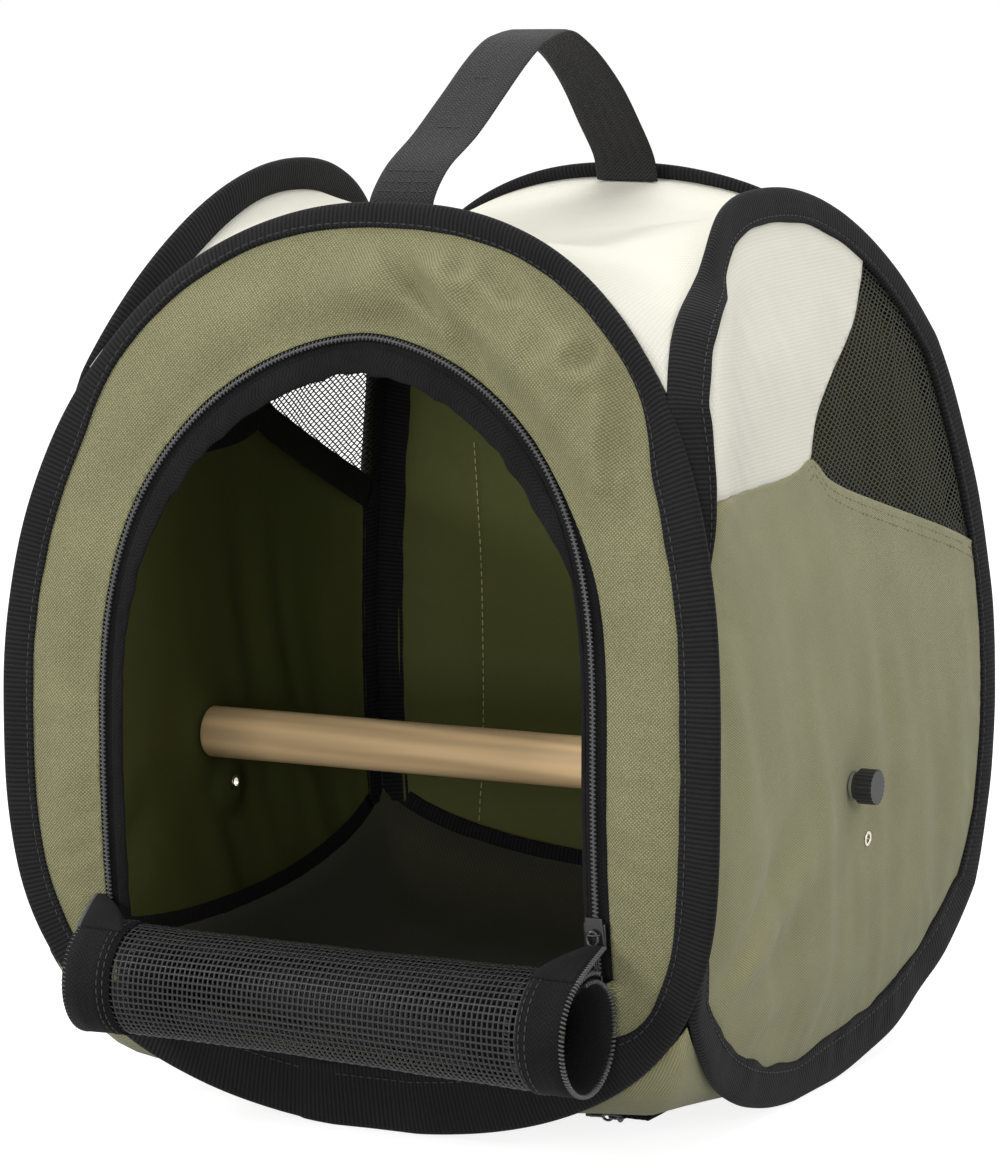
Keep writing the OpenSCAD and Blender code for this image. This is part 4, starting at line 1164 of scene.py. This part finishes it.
def sheet_between(name, corner, mid, dip, level, dish, up, creases):
    """A sheet sewn to the four hoops. It rises from its middle to its corners and dips at its centre."""
    reach = seam_limit(corner) + SHEET_REACH
    edge = arc_z(min(reach, HOOP_W / 2 * 0.999), up)

    def share(s):
        return min(1.0, (arc_z(s * reach, up) - edge) / (arc_z(0, up) - edge))

    def plain(s, t):
        a, b = share(s), share(t)
        dished = [1 - (1 - k) ** dish for k in (a, b)]
        z = mid + (corner - mid) * (1 - a) * (1 - b) * max(abs(s), abs(t)) ** level - dip * dished[0] * dished[1]
        x, y = (k * (seam_limit(corner + (mid - corner) * h) + SHEET_REACH) for k, h in ((s, b), (t, a)))
        loose = creases * min(1.0, 6 * (1 - abs(s))) * min(1.0, 6 * (1 - abs(t)))
        z += loose * noise.noise(Vector((x / 0.05, y / 0.035, mid * 40)))
        z += 0.5 * loose * noise.noise(Vector((x / 0.018, y / 0.03, mid * 70)))
        return Vector((x, y + CABIN_Y, z + 0.4 * MM))

    def point(s, t):
        result = plain(s, t)
        if up:
            edge_point = plain(math.copysign(1.0, s), t)
            seam = hoop_seam("left" if s < 0 else "right", edge_point.y - CABIN_Y)
            result += (seam - edge_point) * between(abs(s), 0.25, 1.0) * (1 - between(abs(t), 0.82, 1.0))
        return result

    at = [i / 28 - 1 for i in range(57)]
    rows = [[point(s, t) for s in at] for t in at]
    return finish_mesh(grid_piece(name, rows, [[(p.x, p.y) for p in row] for row in rows]), sizes().cloth_t)


class CARRIER_OT_top_and_floor(bpy.types.Operator):
    """Sews the cream top, the bottom cover and the floor lining across the four walls"""
    bl_idname = "carrier.top_and_floor"
    bl_label = "Top and floor"

    def execute(self, context):
        for name, node, material, slot, values in (
                ("top_cloth", "top_panel", "canvas", "cream_cloth",
                 (TOP_CORNER_Z, HOOP_H - 6 * MM, 13 * MM, 0, 1, True, 1.6 * MM)),
                ("bottom_cloth", "bottom_cover", "twill", "olive_cloth",
                 (COVER_CORNER_Z, COVER_Z, 0.0, COVER_LEVEL, 1, False, 0.3 * MM)),
                ("floor_lining_cloth", "floor_lining", "lining", "lining",
                 (LINING_CORNER_Z, LINING_Z, LINING_Z - LINING_LOW_Z, FLOOR_LEVEL, 2, False, 0.7 * MM))):
            piece = sewn(sheet_between(name, *values), material, slot, node)
            low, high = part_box(node)
            area = flat_area(piece)
        # The seam's tape rises from the middle of each wall to its corners, along the hoop's lower arc
        edge = arc_z(seam_limit(LINING_CORNER_Z), False)
        rise = (LINING_Z - LINING_CORNER_Z) / (arc_z(0, False) - edge)
        line = [Vector((u, LINING_CORNER_Z + rise * (arc_z(u, False) - edge)))
                for u in (FLOOR_BAND * (i / 30 - 1) for i in range(61))]
        tapes = [wall_tape(wall + "_floor_band", wall, line, flat_section(-6, 6, -1.0, 1.1))
                 for wall in ("front", "right", "rear", "left")]
        sewn(joined("floor_seam_band", tapes), "grosgrain", "tape", "floor_seam_tape")
        return {"FINISHED"}


# ---------------------------------------------------------------- zips

TEETH_OF_FLAP = 2.4 * MM
FLOOR_ZIP_HALF, FLOOR_ZIP_W, FLOOR_TAB = 80 * MM, 26 * MM, 10 * MM


def zip_slider(name, matrix, node, body):
    """A pressed zinc slider: a cap waisted at its nose, two flanges and a bridge for the pull. Its coil lies
    along X under the origin."""
    cap = solid(name, (11 * MM, 8.0 * MM, 1.0 * MM), (0, 0, 0.6 * MM), 0.4 * MM)
    for vertex in cap.data.vertices:
        vertex.co.y *= 1 - 0.22 * between(vertex.co.x, 1 * MM, 5.5 * MM)
        vertex.co.z += 0.35 * MM * (1 - (vertex.co.y / (4 * MM)) ** 2) * (vertex.co.z > 0.6 * MM)
    flanges = [solid(name + "_flange", (8.5 * MM, 0.9 * MM, 1.7 * MM), (-0.8 * MM, s * 3.6 * MM, -0.2 * MM), 0.3 * MM)
               for s in (-1, 1)]
    bridge = ring(name + "_bridge", 2.5 * MM, 0.6 * MM, (0, 0, 0.9 * MM), (math.pi / 2, 0, math.pi / 2), (1, 1, 0.75),
                  arc=0.8 * MM)
    sewn(put(joined(name, [cap, *flanges, bridge]), matrix), "lacquer", "slider_metal", node, body=body)


def zip_pull(name, matrix, node, body):
    """A bent wire ring through the bridge with a pressed tab that tapers from it. The ring hangs along -X."""
    eye = ring(name, 2.0 * MM, 0.55 * MM, (-1.6 * MM, 0, 0), (0, 0, 0), (1.25, 1, 1))
    neck = ring(name + "_neck", 1.5 * MM, 0.5 * MM, (-5.2 * MM, 0, 0), (math.pi / 2, 0, 0), (1.2, 1, 0.8))
    tab = solid(name + "_tab", (6.6 * MM, 4.2 * MM, 1.0 * MM), (-9.6 * MM, 0, 0), 0.4 * MM)
    for vertex in tab.data.vertices:
        vertex.co.y *= 0.62 + 0.38 * between(-vertex.co.x, 6.3 * MM, 12 * MM)
    hollow = ring(name + "_rim", 1.1 * MM, 0.35 * MM, (-11 * MM, 0, 0), (0, 0, 0), (1.2, 1, 2.1))
    sewn(put(joined(name, [eye, neck, tab, hollow]), matrix), "lacquer", "slider_metal", node, body=body)


class CARRIER_OT_door_zip(bpy.types.Operator):
    """Lays the zip's tape and coil round the doorway's arch, with its stops, slider and pull"""
    bl_idname = "carrier.door_zip"
    bl_label = "Door zip"

    def fluffy_edge(self, rail):
        """The soft bound edge inside the arch. It folds away on the straight stretch at the right."""
        rows, uvs = [], []
        for p, d, s in zip(rail, directions(rail), run_of(rail)):
            shown = 1 - between(p.x, 0.070, 0.088) * (1 - between(p.y, 0.190, 0.235))
            wide = (0.8 + shown * (3.4 + 4.6 * between(p.y, 0.16, 0.262))) * (1 + 0.17 * ripple((s, 0.0), 0.009, 5.0))
            row = []
            for a in (2 * math.pi * k / 20 for k in range(20)):
                lump = 1 + 0.6 * ripple((s, 0.006 * math.cos(a)), 0.005, 8.0 + (math.sin(a) > 0))
                w = 3.2 + wide * (0.5 - 0.5 * math.cos(a))
                h = -0.7 + 0.95 * signed_pow(math.sin(a), 0.7) * lump * (0.3 + 0.7 * shown)
                q = p + Vector((-d.y, d.x)) * w * MM
                row.append(on_wall("front", q.x, q.y, h * MM))
            rows.append(row)
            uvs.append([(s, 0.011 * k / 20) for k in range(21)])
        return grid_piece("door_zip_fluffy_edge", rows, uvs, tube=True)

    def execute(self, context):
        rail = door_line(0.0, SILL_Z + 3 * MM, 420)
        tape = wall_tape("door_zip_woven_tape", "front", rail, flat_section(-8.5, 5.0, -0.95, 0.7))
        sewn(joined("door_zip_woven_tape", [tape, self.fluffy_edge(rail)]), "tape", "tape", "door_zip_tape")
        rail = door_line(0.0, SILL_Z + 5 * MM, 600)
        centres = [on_wall("front", p.x, p.y, 0.55 * MM) for p in rail]
        core = tube_along("door_coil_core", centres[::4], 0.5 * MM)
        teeth = coil_teeth("door_coil_teeth", centres, [wall_out("front", p.x, p.y) for p in rail], 2.7 * MM)
        sewn(joined("door_zip_coil_turns", [teeth, core]), "nylon", "zip_coil", "door_zip_coil")
        for side, end in (("left", rail[-1]), ("right", rail[0])):
            out = wall_out("front", end.x, end.y)
            stop = solid("door_zip_stop_" + side, (3.4 * MM, 2.6 * MM, 2.0 * MM), (0, 0, 0), 0.5 * MM)
            put(stop, set_between(on_wall("front", end.x, end.y, 0.7 * MM), Vector((1, 0, 0)), out))
            sewn(stop, "lacquer", "slider_metal")
        u, z = DOOR_X + DOOR_HALF, SILL_Z + 21 * MM
        climb = on_wall("front", u, z + 1 * MM) - on_wall("front", u, z)
        place = set_between(on_wall("front", u, z, 1.5 * MM), climb, wall_out("front", u, z))
        zip_slider("door_zip_slider_body", place, "door_zip_slider", "door_slider")
        low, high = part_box("door_zip_pull")
        pivot = Vector(((low.x + high.x) / 2, (low.y + high.y) / 2, high.z - 0.7 * MM))
        zip_pull("door_zip_pull_ring", set_between(pivot, Vector((0, 0, 1)), Vector((0, -1, 0))), "door_zip_pull",
                 "door_pull")
        return {"FINISHED"}


class CARRIER_OT_floor_zip(bpy.types.Operator):
    """Lays the bottom cover's zip with its end tabs, slider and pull"""
    bl_idname = "carrier.floor_zip"
    bl_label = "Floor zip"

    def execute(self, context):
        y, tape_z, half = CABIN_Y - FLOOR_ZIP_FRONT, COVER_Z - 0.3 * MM, FLOOR_ZIP_HALF

        def flat_tape(name, x0, x1, z, thick):
            n, edge = 40, FLOOR_ZIP_W / 2 / MM
            section = flat_section(-edge, edge, 0, thick)
            rows = [[Vector((x0 + (x1 - x0) * i / n, y + w * MM, z + h * MM + 0.25 * MM * ripple((x0 + i, w), 6.0)))
                     for w, h in section] for i in range(n + 1)]
            uvs = [[((x1 - x0) * i / n, w * MM) for w, h in section + section[:1]] for i in range(n + 1)]
            return finish_mesh(grid_piece(name, rows, uvs, tube=True), outwards=True)

        sewn(flat_tape("floor_zip_woven_tape", -half, half, tape_z, 0.6), "tape", "tape", "floor_zip_tape")
        tabs = [flat_tape("floor_zip_end_" + name, s * half, s * (half + FLOOR_TAB), tape_z - 0.5 * MM, 0.9)
                for name, s in (("left", -1), ("right", 1))]
        sewn(joined("floor_zip_folded_ends", tabs), "grosgrain", "tape", "floor_zip_tabs")
        centres = [Vector((half * (i / 200 - 1), y, tape_z - 1.25 * MM)) for i in range(401)]
        pairs = [coil_teeth("floor_coil_teeth", [c + Vector((0, s * 1.1 * MM, 0)) for c in centres],
                            [Vector((0, 0, -1))] * len(centres), 2.6 * MM) for s in (-1, 1)]
        sewn(joined("floor_zip_coil_turns", [*pairs, tube_along("floor_coil_core", centres[::40], 0.8 * MM)]), "nylon",
             "zip_coil", "floor_zip_coil")
        over = Matrix.Rotation(math.pi, 4, "X")
        place = Matrix.Translation((span_middle("floor_zip_slider", 0), y, COVER_Z - 2.5 * MM)) @ over
        zip_slider("floor_zip_slider_body", place, "floor_zip_slider", "floor_slider")
        low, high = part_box("floor_zip_pull")
        place = Matrix.Translation((high.x - 0.7 * MM, y, (low.z + high.z) / 2)) @ over
        zip_pull("floor_zip_pull_ring", place, "floor_zip_pull", "floor_pull")
        return {"FINISHED"}


# ---------------------------------------------------------------- the rolled flap

# The width of a strand of the flap's screen, and of the hem that hangs from the sill
SCREEN_STRAND, HEM_W = 0.62 * MM, 169 * MM
FLAP_STITCHES = (82.3 * MM, 84.6 * MM)


def roll_radius(a):
    """The radius of the flap's winding after it has turned by an angle from its start."""
    turn = a / (2 * math.pi)
    return ROLL_R + LOOSE - 0.9 * MM - ROLL_PITCH * (turn ** 1.5 if turn < 1 else 1.5 * turn - 0.5)


def on_roll(x, a, out=0.0):
    """The point of the roll at x across, wound on by a from its start. The roll is a little fuller at its ends."""
    right = between(x, -TAPE_HALF, TAPE_HALF)
    full = 0.9 * MM * (abs(x) / TAPE_HALF) ** 3 + 1.5 * MM * right + 0.5 * MM * ripple((x, a * 0.01), 0.03, 11.0)
    x += 4.0 * MM * between(-x, 0.0, TAPE_HALF)
    r = roll_radius(a) + out + full * (1 - between(a, 6.0, 12.0))
    t = ROLL_START + a
    lift = (3.2 - 2.6 * right) * MM
    return Vector((x, CABIN_Y + ROLL_Y - LOOSE + r * math.cos(t), ROLL_Z + lift + r * math.sin(t)))


def away(p):
    """The direction from the roll's axis to a point."""
    return Vector((0, p.y - CABIN_Y - ROLL_Y + LOOSE, p.z - ROLL_Z)).normalized()


class CARRIER_OT_rolled_flap(bpy.types.Operator):
    """Rolls up the doorway's mesh flap in front of the sill, with its end tapes, coil edge and sewn hem"""
    bl_idname = "carrier.rolled_flap"
    bl_label = "Rolled flap"

    def mesh(self, name, a0, a1, half):
        """Screen mesh, cell by cell: each hole is framed by four strands."""
        pitch_x, pitch_a = sizes().roll_pitch_x, sizes().roll_pitch_a
        wide = max(8, round(2 * half / pitch_x))
        mean = (roll_radius(a0) + roll_radius(a1)) / 2
        tall = max(8, round((a1 - a0) * mean / pitch_a))
        hole_x, hole_a = 1 - SCREEN_STRAND / pitch_x, 1 - SCREEN_STRAND / pitch_a

        def at(i, j, di=0.0, dj=0.0, out=0.0):
            return on_roll(-half + 2 * half * (i + di) / wide, a0 + (a1 - a0) * (j + dj) / tall, out)

        points = [at(i, j, out=(0.38 if (i + j) % 2 else 0.12) * MM) for j in range(tall + 1) for i in range(wide + 1)]
        faces = []
        for j in range(tall):
            for i in range(wide):
                first, start = j * (wide + 1) + i, len(points)
                outer = [first, first + 1, first + wide + 2, first + wide + 1]
                for sx, sa in ((-1, -1), (1, -1), (1, 1), (-1, 1)):
                    points.append(at(i, j, 0.5 + sx * hole_x / 2, 0.5 + sa * hole_a / 2))
                for k in range(4):
                    n = (k + 1) % 4
                    faces.append((outer[k], outer[n], start + n, start + k))
        return finish_mesh(link_mesh(name, points, faces), 0.4 * MM)

    def band(self, name, a0, a1, x0, x1, thick, n):
        """A tape wound with the flap between two angles and two places across."""
        section = flat_section(x0 / MM, x1 / MM, 0, thick)
        turns = [a0 + (a1 - a0) * i / n for i in range(n + 1)]
        rows = [[on_roll(x * MM, a, (h + 0.12 * ripple((a * 0.02, x * MM), 0.008, 6.0)) * MM) for x, h in section]
                for a in turns]
        uvs = [[(a * ROLL_R, x * MM) for x, h in section + section[:1]] for a in turns]
        return finish_mesh(grid_piece(name, rows, uvs, tube=True), outwards=True)

    def ear(self, side):
        """The corner of the flap's tape that rises from the roll to the end of the doorway's zip."""
        foot, foot_in = (on_roll(side * x, math.radians(46), 0.9 * MM) for x in (TAPE_HALF, TAPE_IN))
        top = on_wall("front", side * 98.4 * MM + DOOR_X, SILL_Z + 17 * MM, 2.2 * MM)
        lift = foot.lerp(top, 0.55) + Vector((0, 0, 1.0 * MM))
        rows, uvs = [], []
        for t in (i / 24 for i in range(25)):
            outer = foot.lerp(lift, t).lerp(lift.lerp(top, t), t)
            inner = outer + (foot_in - foot) * (1 - 0.84 * t ** 1.5)
            row = []
            for share in (k / 8 for k in range(9)):
                bulge = 1.0 * MM * math.sin(math.pi * share) * math.sin(math.pi * t)
                row.append(inner.lerp(outer, share) + Vector((0, -0.5 * bulge, bulge)))
            rows.append(row)
            uvs.append([(0.03 * t, 0.017 * k / 8) for k in range(9)])
        name = "left" if side < 0 else "right"
        sheet = finish_mesh(grid_piece(name + "_flap_corner", rows, uvs), 1.3 * MM, outwards=True)
        edge = [row[-1] + Vector((side * 0.6 * MM, 0, 0)) for row in rows]
        ups = [a.cross(Vector((side, 0, 0))).normalized() * side for a in directions(edge)]
        teeth = coil_teeth(name + "_corner_teeth", edge, ups, TEETH_OF_FLAP)
        for piece, material, slot in ((sheet, "tape", "tape"), (teeth, "nylon", "zip_coil")):
            sewn(piece, material, slot, body=None)
            tuple(foot)
            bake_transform(piece)

    def execute(self, context):
        full, all_turns = ROLL_TURNS
        turns = [self.mesh("flap_outer_turn", 0, full, TAPE_IN + 2 * MM),
                 self.mesh("flap_inner_turn", full, all_turns, CORE_HALF - 15 * MM)]
        sewn(joined("flap_screen_mesh", turns), "screen", "mesh", "flap_mesh", body="flap")
        edge = math.radians(12)
        teeth = []
        for side, name in ((-1, "left"), (1, "right")):
            core_in, core_out = side * (CORE_HALF - 17 * MM), side * CORE_HALF
            bands = [self.band(name + "_band", 0, full + edge, side * TAPE_IN, side * TAPE_HALF, 1.8, 110),
                     self.band(name + "_core", full, all_turns, core_in, core_out, 1.6, 90),
                     self.band(name + "_end", all_turns, all_turns + edge, 0, core_out, 1.6, 8)]
            sewn(joined(f"flap_{name}_bound_edge", bands), "tape", "tape", f"flap_{name}_tape", body="flap")
            for k, x in enumerate(FLAP_STITCHES):
                line = [on_roll(side * x, full * i / 160, 1.0 * MM) for i in range(161)]
                row = stitch_row(f"flap_{name}_stitches_{k + 1}", line, [away(p) for p in line])
                sewn(row, "thread_black", "tape", body="flap")
            for x, a0, a1 in ((TAPE_HALF + 0.3 * MM, 0, full), (CORE_HALF + 0.3 * MM, full, all_turns)):
                centres = [on_roll(side * x, a0 + (a1 - a0) * i / 240, 0.2 * MM) for i in range(241)]
                teeth.append(coil_teeth("flap_teeth", centres, [away(p) for p in centres], TEETH_OF_FLAP))
        sewn(joined("flap_coil_turns", teeth), "nylon", "zip_coil", "flap_zip_coil", body="flap")
        sill, start, rows = on_wall("front", 0, SILL_Z, 1.2 * MM), on_roll(0, 0), []
        for t in (i / 24 for i in range(25)):
            p, sag = sill.lerp(start, t), 1.2 * MM * math.sin(math.pi * t)
            rows.append([Vector((HEM_W * (k / 40 - 0.5), p.y, p.z - sag)) for k in range(41)])
        uvs = [[(p.x, (rows[0][0] - p).yz.length) for p in row] for row in rows]
        hem = finish_mesh(grid_piece("flap_sewn_hem", rows, uvs), 0.9 * MM)
        sewn(hem, "tape", "tape", "flap_hem", body="flap")
        for side in (-1, 1):
            self.ear(side)
        return {"FINISHED"}


# ---------------------------------------------------------------- perch, eyelets and handle


class CARRIER_OT_perch(bpy.types.Operator):
    """Turns the wooden perch and presses its four wall eyelets and the two spare ones"""
    bl_idname = "carrier.perch"
    bl_label = "Perch and eyelets"

    def execute(self, context):
        low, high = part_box("perch_dowel")
        piece = settle(primitive("turned_perch", "cylinder", vertices=72, radius=PERCH_D / 2, depth=high.x - low.x,
                                 location=(low + high) / 2, rotation=(0, math.pi / 2, 0)))
        modify(piece, "BEVEL", width=1.2 * MM, segments=4)
        sewn(smoothed(piece, 40), "wood", "perch_wood", "perch_dowel", body="perch")
        for name, u, z in (("perch_eyelets", PERCH_Y, PERCH_Z), ("spare_eyelets", SPARE_Y, SPARE_Z)):
            parts = []
            for side in SIDES:
                for out in (-0.95 * MM, 0.95 * MM):
                    flange = ring(name, 2.15 * MM, 0.55 * MM, (0, 0, 0), (0, 0, 0), (1, 1, 0.55))
                    parts.append(self.press(flange, side, u, z, out))
                barrel = primitive("barrel", "cylinder", vertices=36, radius=2.05 * MM, depth=1.9 * MM,
                                   end_fill_type="NOTHING")
                parts.append(self.press(smoothed(finish_mesh(barrel, 0.4 * MM, offset=-1), 40), side, u, z, 0.0))
            sewn(joined(name.replace("eyelets", "grommets"), parts), "nickel", "eyelet_metal", name)
        return {"FINISHED"}

    def press(self, piece, side, u, z, out):
        """Sets a round piece in a side wall."""
        return put(piece, set_between(on_wall(side, u, z, out), Vector((0, 1, 0)), wall_out(side, u, z)))


HANDLE_LINE = [(-0.0893, 0.3135), (-0.0880, 0.3210), (-0.0765, 0.3310), (-0.0560, 0.3405), (-0.0350, 0.3525),
               (-0.0180, 0.3625), (-0.0040, 0.3690), (0.0080, 0.3715), (0.0190, 0.3720), (0.0300, 0.3685),
               (0.0450, 0.3610), (0.0600, 0.3500), (0.0740, 0.3360), (0.0860, 0.3230), (0.0893, 0.3135)]
WEBBING_T = 1.8 * MM
# The handle's rows of stitches: how far along it each lies, and its share of the width
HANDLE_STITCHES = ((0.045, 1), (0.065, 1), (0.085, 1), (0.22, 0.55), (0.36, 0.45), (0.955, 1))


class CARRIER_OT_handle(bpy.types.Operator):
    """Bends the webbing handle over the top, with the rows of stitches that hold its two folded ends"""
    bl_idname = "carrier.handle"
    bl_label = "Handle"

    def execute(self, context):
        line, total = resample(smooth_line(HANDLE_LINE, 12), 160, closed=False)
        ups = [Vector((1, 0, 0)).cross(Vector((0, d.x, d.y))).normalized() for d in directions(line)]
        half, last = WEBBING_W / 2, len(line) - 1

        def point(i, x, out):
            wave = 0.8 * MM * ripple((i / len(line), x), 0.16, 3.0) * (x / half)
            return Vector((x, line[i].x + CABIN_Y, line[i].y)) + ups[i] * (out + wave)

        section = [(-half + 0.5 * MM, 0.5), (-half * 0.8, 0.95), (-half * 0.4, 1.0), (0, 1.0), (half * 0.4, 1.0),
                   (half * 0.8, 0.95), (half - 0.5 * MM, 0.5), (half, 0.0)]
        section += [(x, -h) for x, h in reversed(section[:-1])] + [(-half, 0.0)]
        rows = [[point(i, x, h * WEBBING_T / 2) for x, h in section] for i in range(last + 1)]
        uvs = [[(total * i / last, x) for x, h in section + section[:1]] for i in range(last + 1)]
        piece = finish_mesh(grid_piece("handle_webbing_bow", rows, uvs, tube=True), outwards=True)
        sewn(piece, "webbing", "webbing", "handle_strap", "handle_tabs", body=None)
        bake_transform(piece)
        rows = []
        for share, reach in HANDLE_STITCHES:
            i = round(share * last)
            start = -0.85 if reach == 1 else -0.5 * reach - 0.1
            across = [point(i, half * (start + 2 * 0.85 * reach * j / 20), WEBBING_T / 2 * 1.08) for j in range(21)]
            rows.append(stitch_row("handle_stitches", across, [ups[i]] * 21))
        piece = sewn(joined("handle_stitch_rows", rows), "thread_black", "webbing", body=None)
        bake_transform(piece)
        return {"FINISHED"}


# ---------------------------------------------------------------- stage and camera

WHITE = (1, 1, 1, 1)
# The place, power and size of each softbox
SOFTBOXES = (("key", (-1.9, -1.9, 1.6), 48, 0.7), ("side", (2.3, -0.9, 1.1), 21, 1.2),
             ("top", (0.1, 0.7, 2.4), 58, 3.0), ("front", (0.5, -2.6, 0.5), 21, 0.8))


def mix_by_ray(tree, plain, seen, target):
    """Shows one shader where the camera, a gloss or a clear thing looks, and the plain one elsewhere."""
    path = add(tree, "ShaderNodeLightPath")
    looked = add(tree, MATH, {0: path["Is Camera Ray"], 1: path["Is Glossy Ray"]}, operation="MAXIMUM")[0]
    looked = add(tree, MATH, {0: looked, 1: path["Is Transmission Ray"]}, operation="MAXIMUM")[0]
    mixed = add(tree, "ShaderNodeMixShader", {0: looked, 1: plain, 2: seen})[0]
    tree.links.new(mixed, tree.nodes[target].inputs["Surface"])


class CARRIER_OT_stage(bpy.types.Operator):
    """Sets the pale floor, the soft studio light and the camera"""
    bl_idname = "carrier.stage"
    bl_label = "Stage"

    def floor(self):
        plane = settle(primitive("studio_floor", "plane", size=14, location=(0, 0, -0.5 * MM)))
        # White paper: it lights the carrier as a grey sheet would, and looks like an even pale ground
        material = bpy.data.materials.new("white_studio_floor")
        material.use_nodes = True
        tree = material.node_tree
        tree.nodes.remove(tree.nodes["Principled BSDF"])
        paper = add(tree, "ShaderNodeBsdfDiffuse", {"Color": linear("#b4b4b4")})[0]
        pale = add(tree, "ShaderNodeBsdfDiffuse", {"Color": linear("#a8a8a8")})[0]
        glow = add(tree, "ShaderNodeEmission", {"Color": WHITE, "Strength": 0.85})[0]
        mix_by_ray(tree, paper, add(tree, "ShaderNodeAddShader", {0: pale, 1: glow})[0], "Material Output")
        plane.data.materials.append(material)

    def light(self):
        world = bpy.data.worlds.new("soft_studio")
        bpy.context.scene.world = world
        world.use_nodes = True
        tree = world.node_tree
        back = tree.nodes["Background"]
        back.inputs["Color"].default_value = WHITE
        back.inputs["Strength"].default_value = 0.42
        white = add(tree, "ShaderNodeBackground", {"Color": WHITE, "Strength": 1.0})[0]
        mix_by_ray(tree, back.outputs[0], white, "World Output")
        for name, place, power, size in SOFTBOXES:
            lamp = bpy.data.lights.new(name + "_softbox", "AREA")
            lamp.energy, lamp.size = power, size
            softbox = bpy.data.objects.new(name + "_softbox", lamp)
            bpy.context.scene.collection.objects.link(softbox)
            softbox.location = place
            softbox.rotation_euler = (Vector((0, 0, 0.17)) - Vector(place)).to_track_quat("-Z", "Y").to_euler()

    def camera(self):
        data = bpy.data.cameras.new("studio_camera")
        data.lens, data.sensor_width = 172.6, 36
        data.clip_end = 50
        camera = bpy.data.objects.new("studio_camera", data)
        bpy.context.scene.collection.objects.link(camera)
        yaw, pitch, roll = math.radians(27.054), math.radians(8.790), math.radians(-0.481)
        ahead = Vector((-math.sin(yaw) * math.cos(pitch), math.cos(yaw) * math.cos(pitch), -math.sin(pitch)))
        right = Vector((math.cos(yaw), math.sin(yaw), 0))
        up = right.cross(ahead)
        right, up = right * math.cos(roll) + up * math.sin(roll), up * math.cos(roll) - right * math.sin(roll)
        turn = Matrix((right, up, -ahead)).transposed().to_4x4()
        camera.matrix_world = Matrix.Translation((0.89869, -1.77681 + CABIN_Y, 0.48292)) @ turn
        bpy.context.scene.camera = camera

    def execute(self, context):
        self.floor()
        self.light()
        self.camera()
        context.scene.view_settings.view_transform = "Standard"
        return {"FINISHED"}


# ---------------------------------------------------------------- the add-on


OPERATORS = (CARRIER_OT_materials, CARRIER_OT_bindings, CARRIER_OT_front_wall, CARRIER_OT_rear_wall,
             CARRIER_OT_side_walls, CARRIER_OT_top_and_floor, CARRIER_OT_door_zip, CARRIER_OT_floor_zip,
             CARRIER_OT_rolled_flap, CARRIER_OT_perch, CARRIER_OT_handle, CARRIER_OT_stage)


class CARRIER_PT_panel(bpy.types.Panel):
    """Lists the carrier's sizes, colours and pieces"""
    bl_idname = "CARRIER_PT_panel"
    bl_label = "Bird travel carrier"
    bl_space_type = "VIEW_3D"
    bl_region_type = "UI"
    bl_category = "Carrier"

    def draw(self, context):
        for group in (context.scene.carrier_sizes, context.scene.carrier_colours):
            for name in group.bl_rna.properties.keys():
                if name not in ("rna_type", "name"):
                    self.layout.prop(group, name)
        for operator in OPERATORS:
            self.layout.operator(operator.bl_idname)


def register():
    for group in (CarrierSizes, CarrierColours, *OPERATORS, CARRIER_PT_panel):
        bpy.utils.register_class(group)
    bpy.types.Scene.carrier_sizes = bpy.props.PointerProperty(type=CarrierSizes)
    bpy.types.Scene.carrier_colours = bpy.props.PointerProperty(type=CarrierColours)


def unregister():
    del bpy.types.Scene.carrier_colours
    del bpy.types.Scene.carrier_sizes
    for group in reversed((CarrierSizes, CarrierColours, *OPERATORS, CARRIER_PT_panel)):
        bpy.utils.unregister_class(group)


def main():
    register()
    for operator in OPERATORS:
        getattr(bpy.ops.carrier, operator.bl_idname.split(".")[1])()


if __name__ == "__main__":
    main()
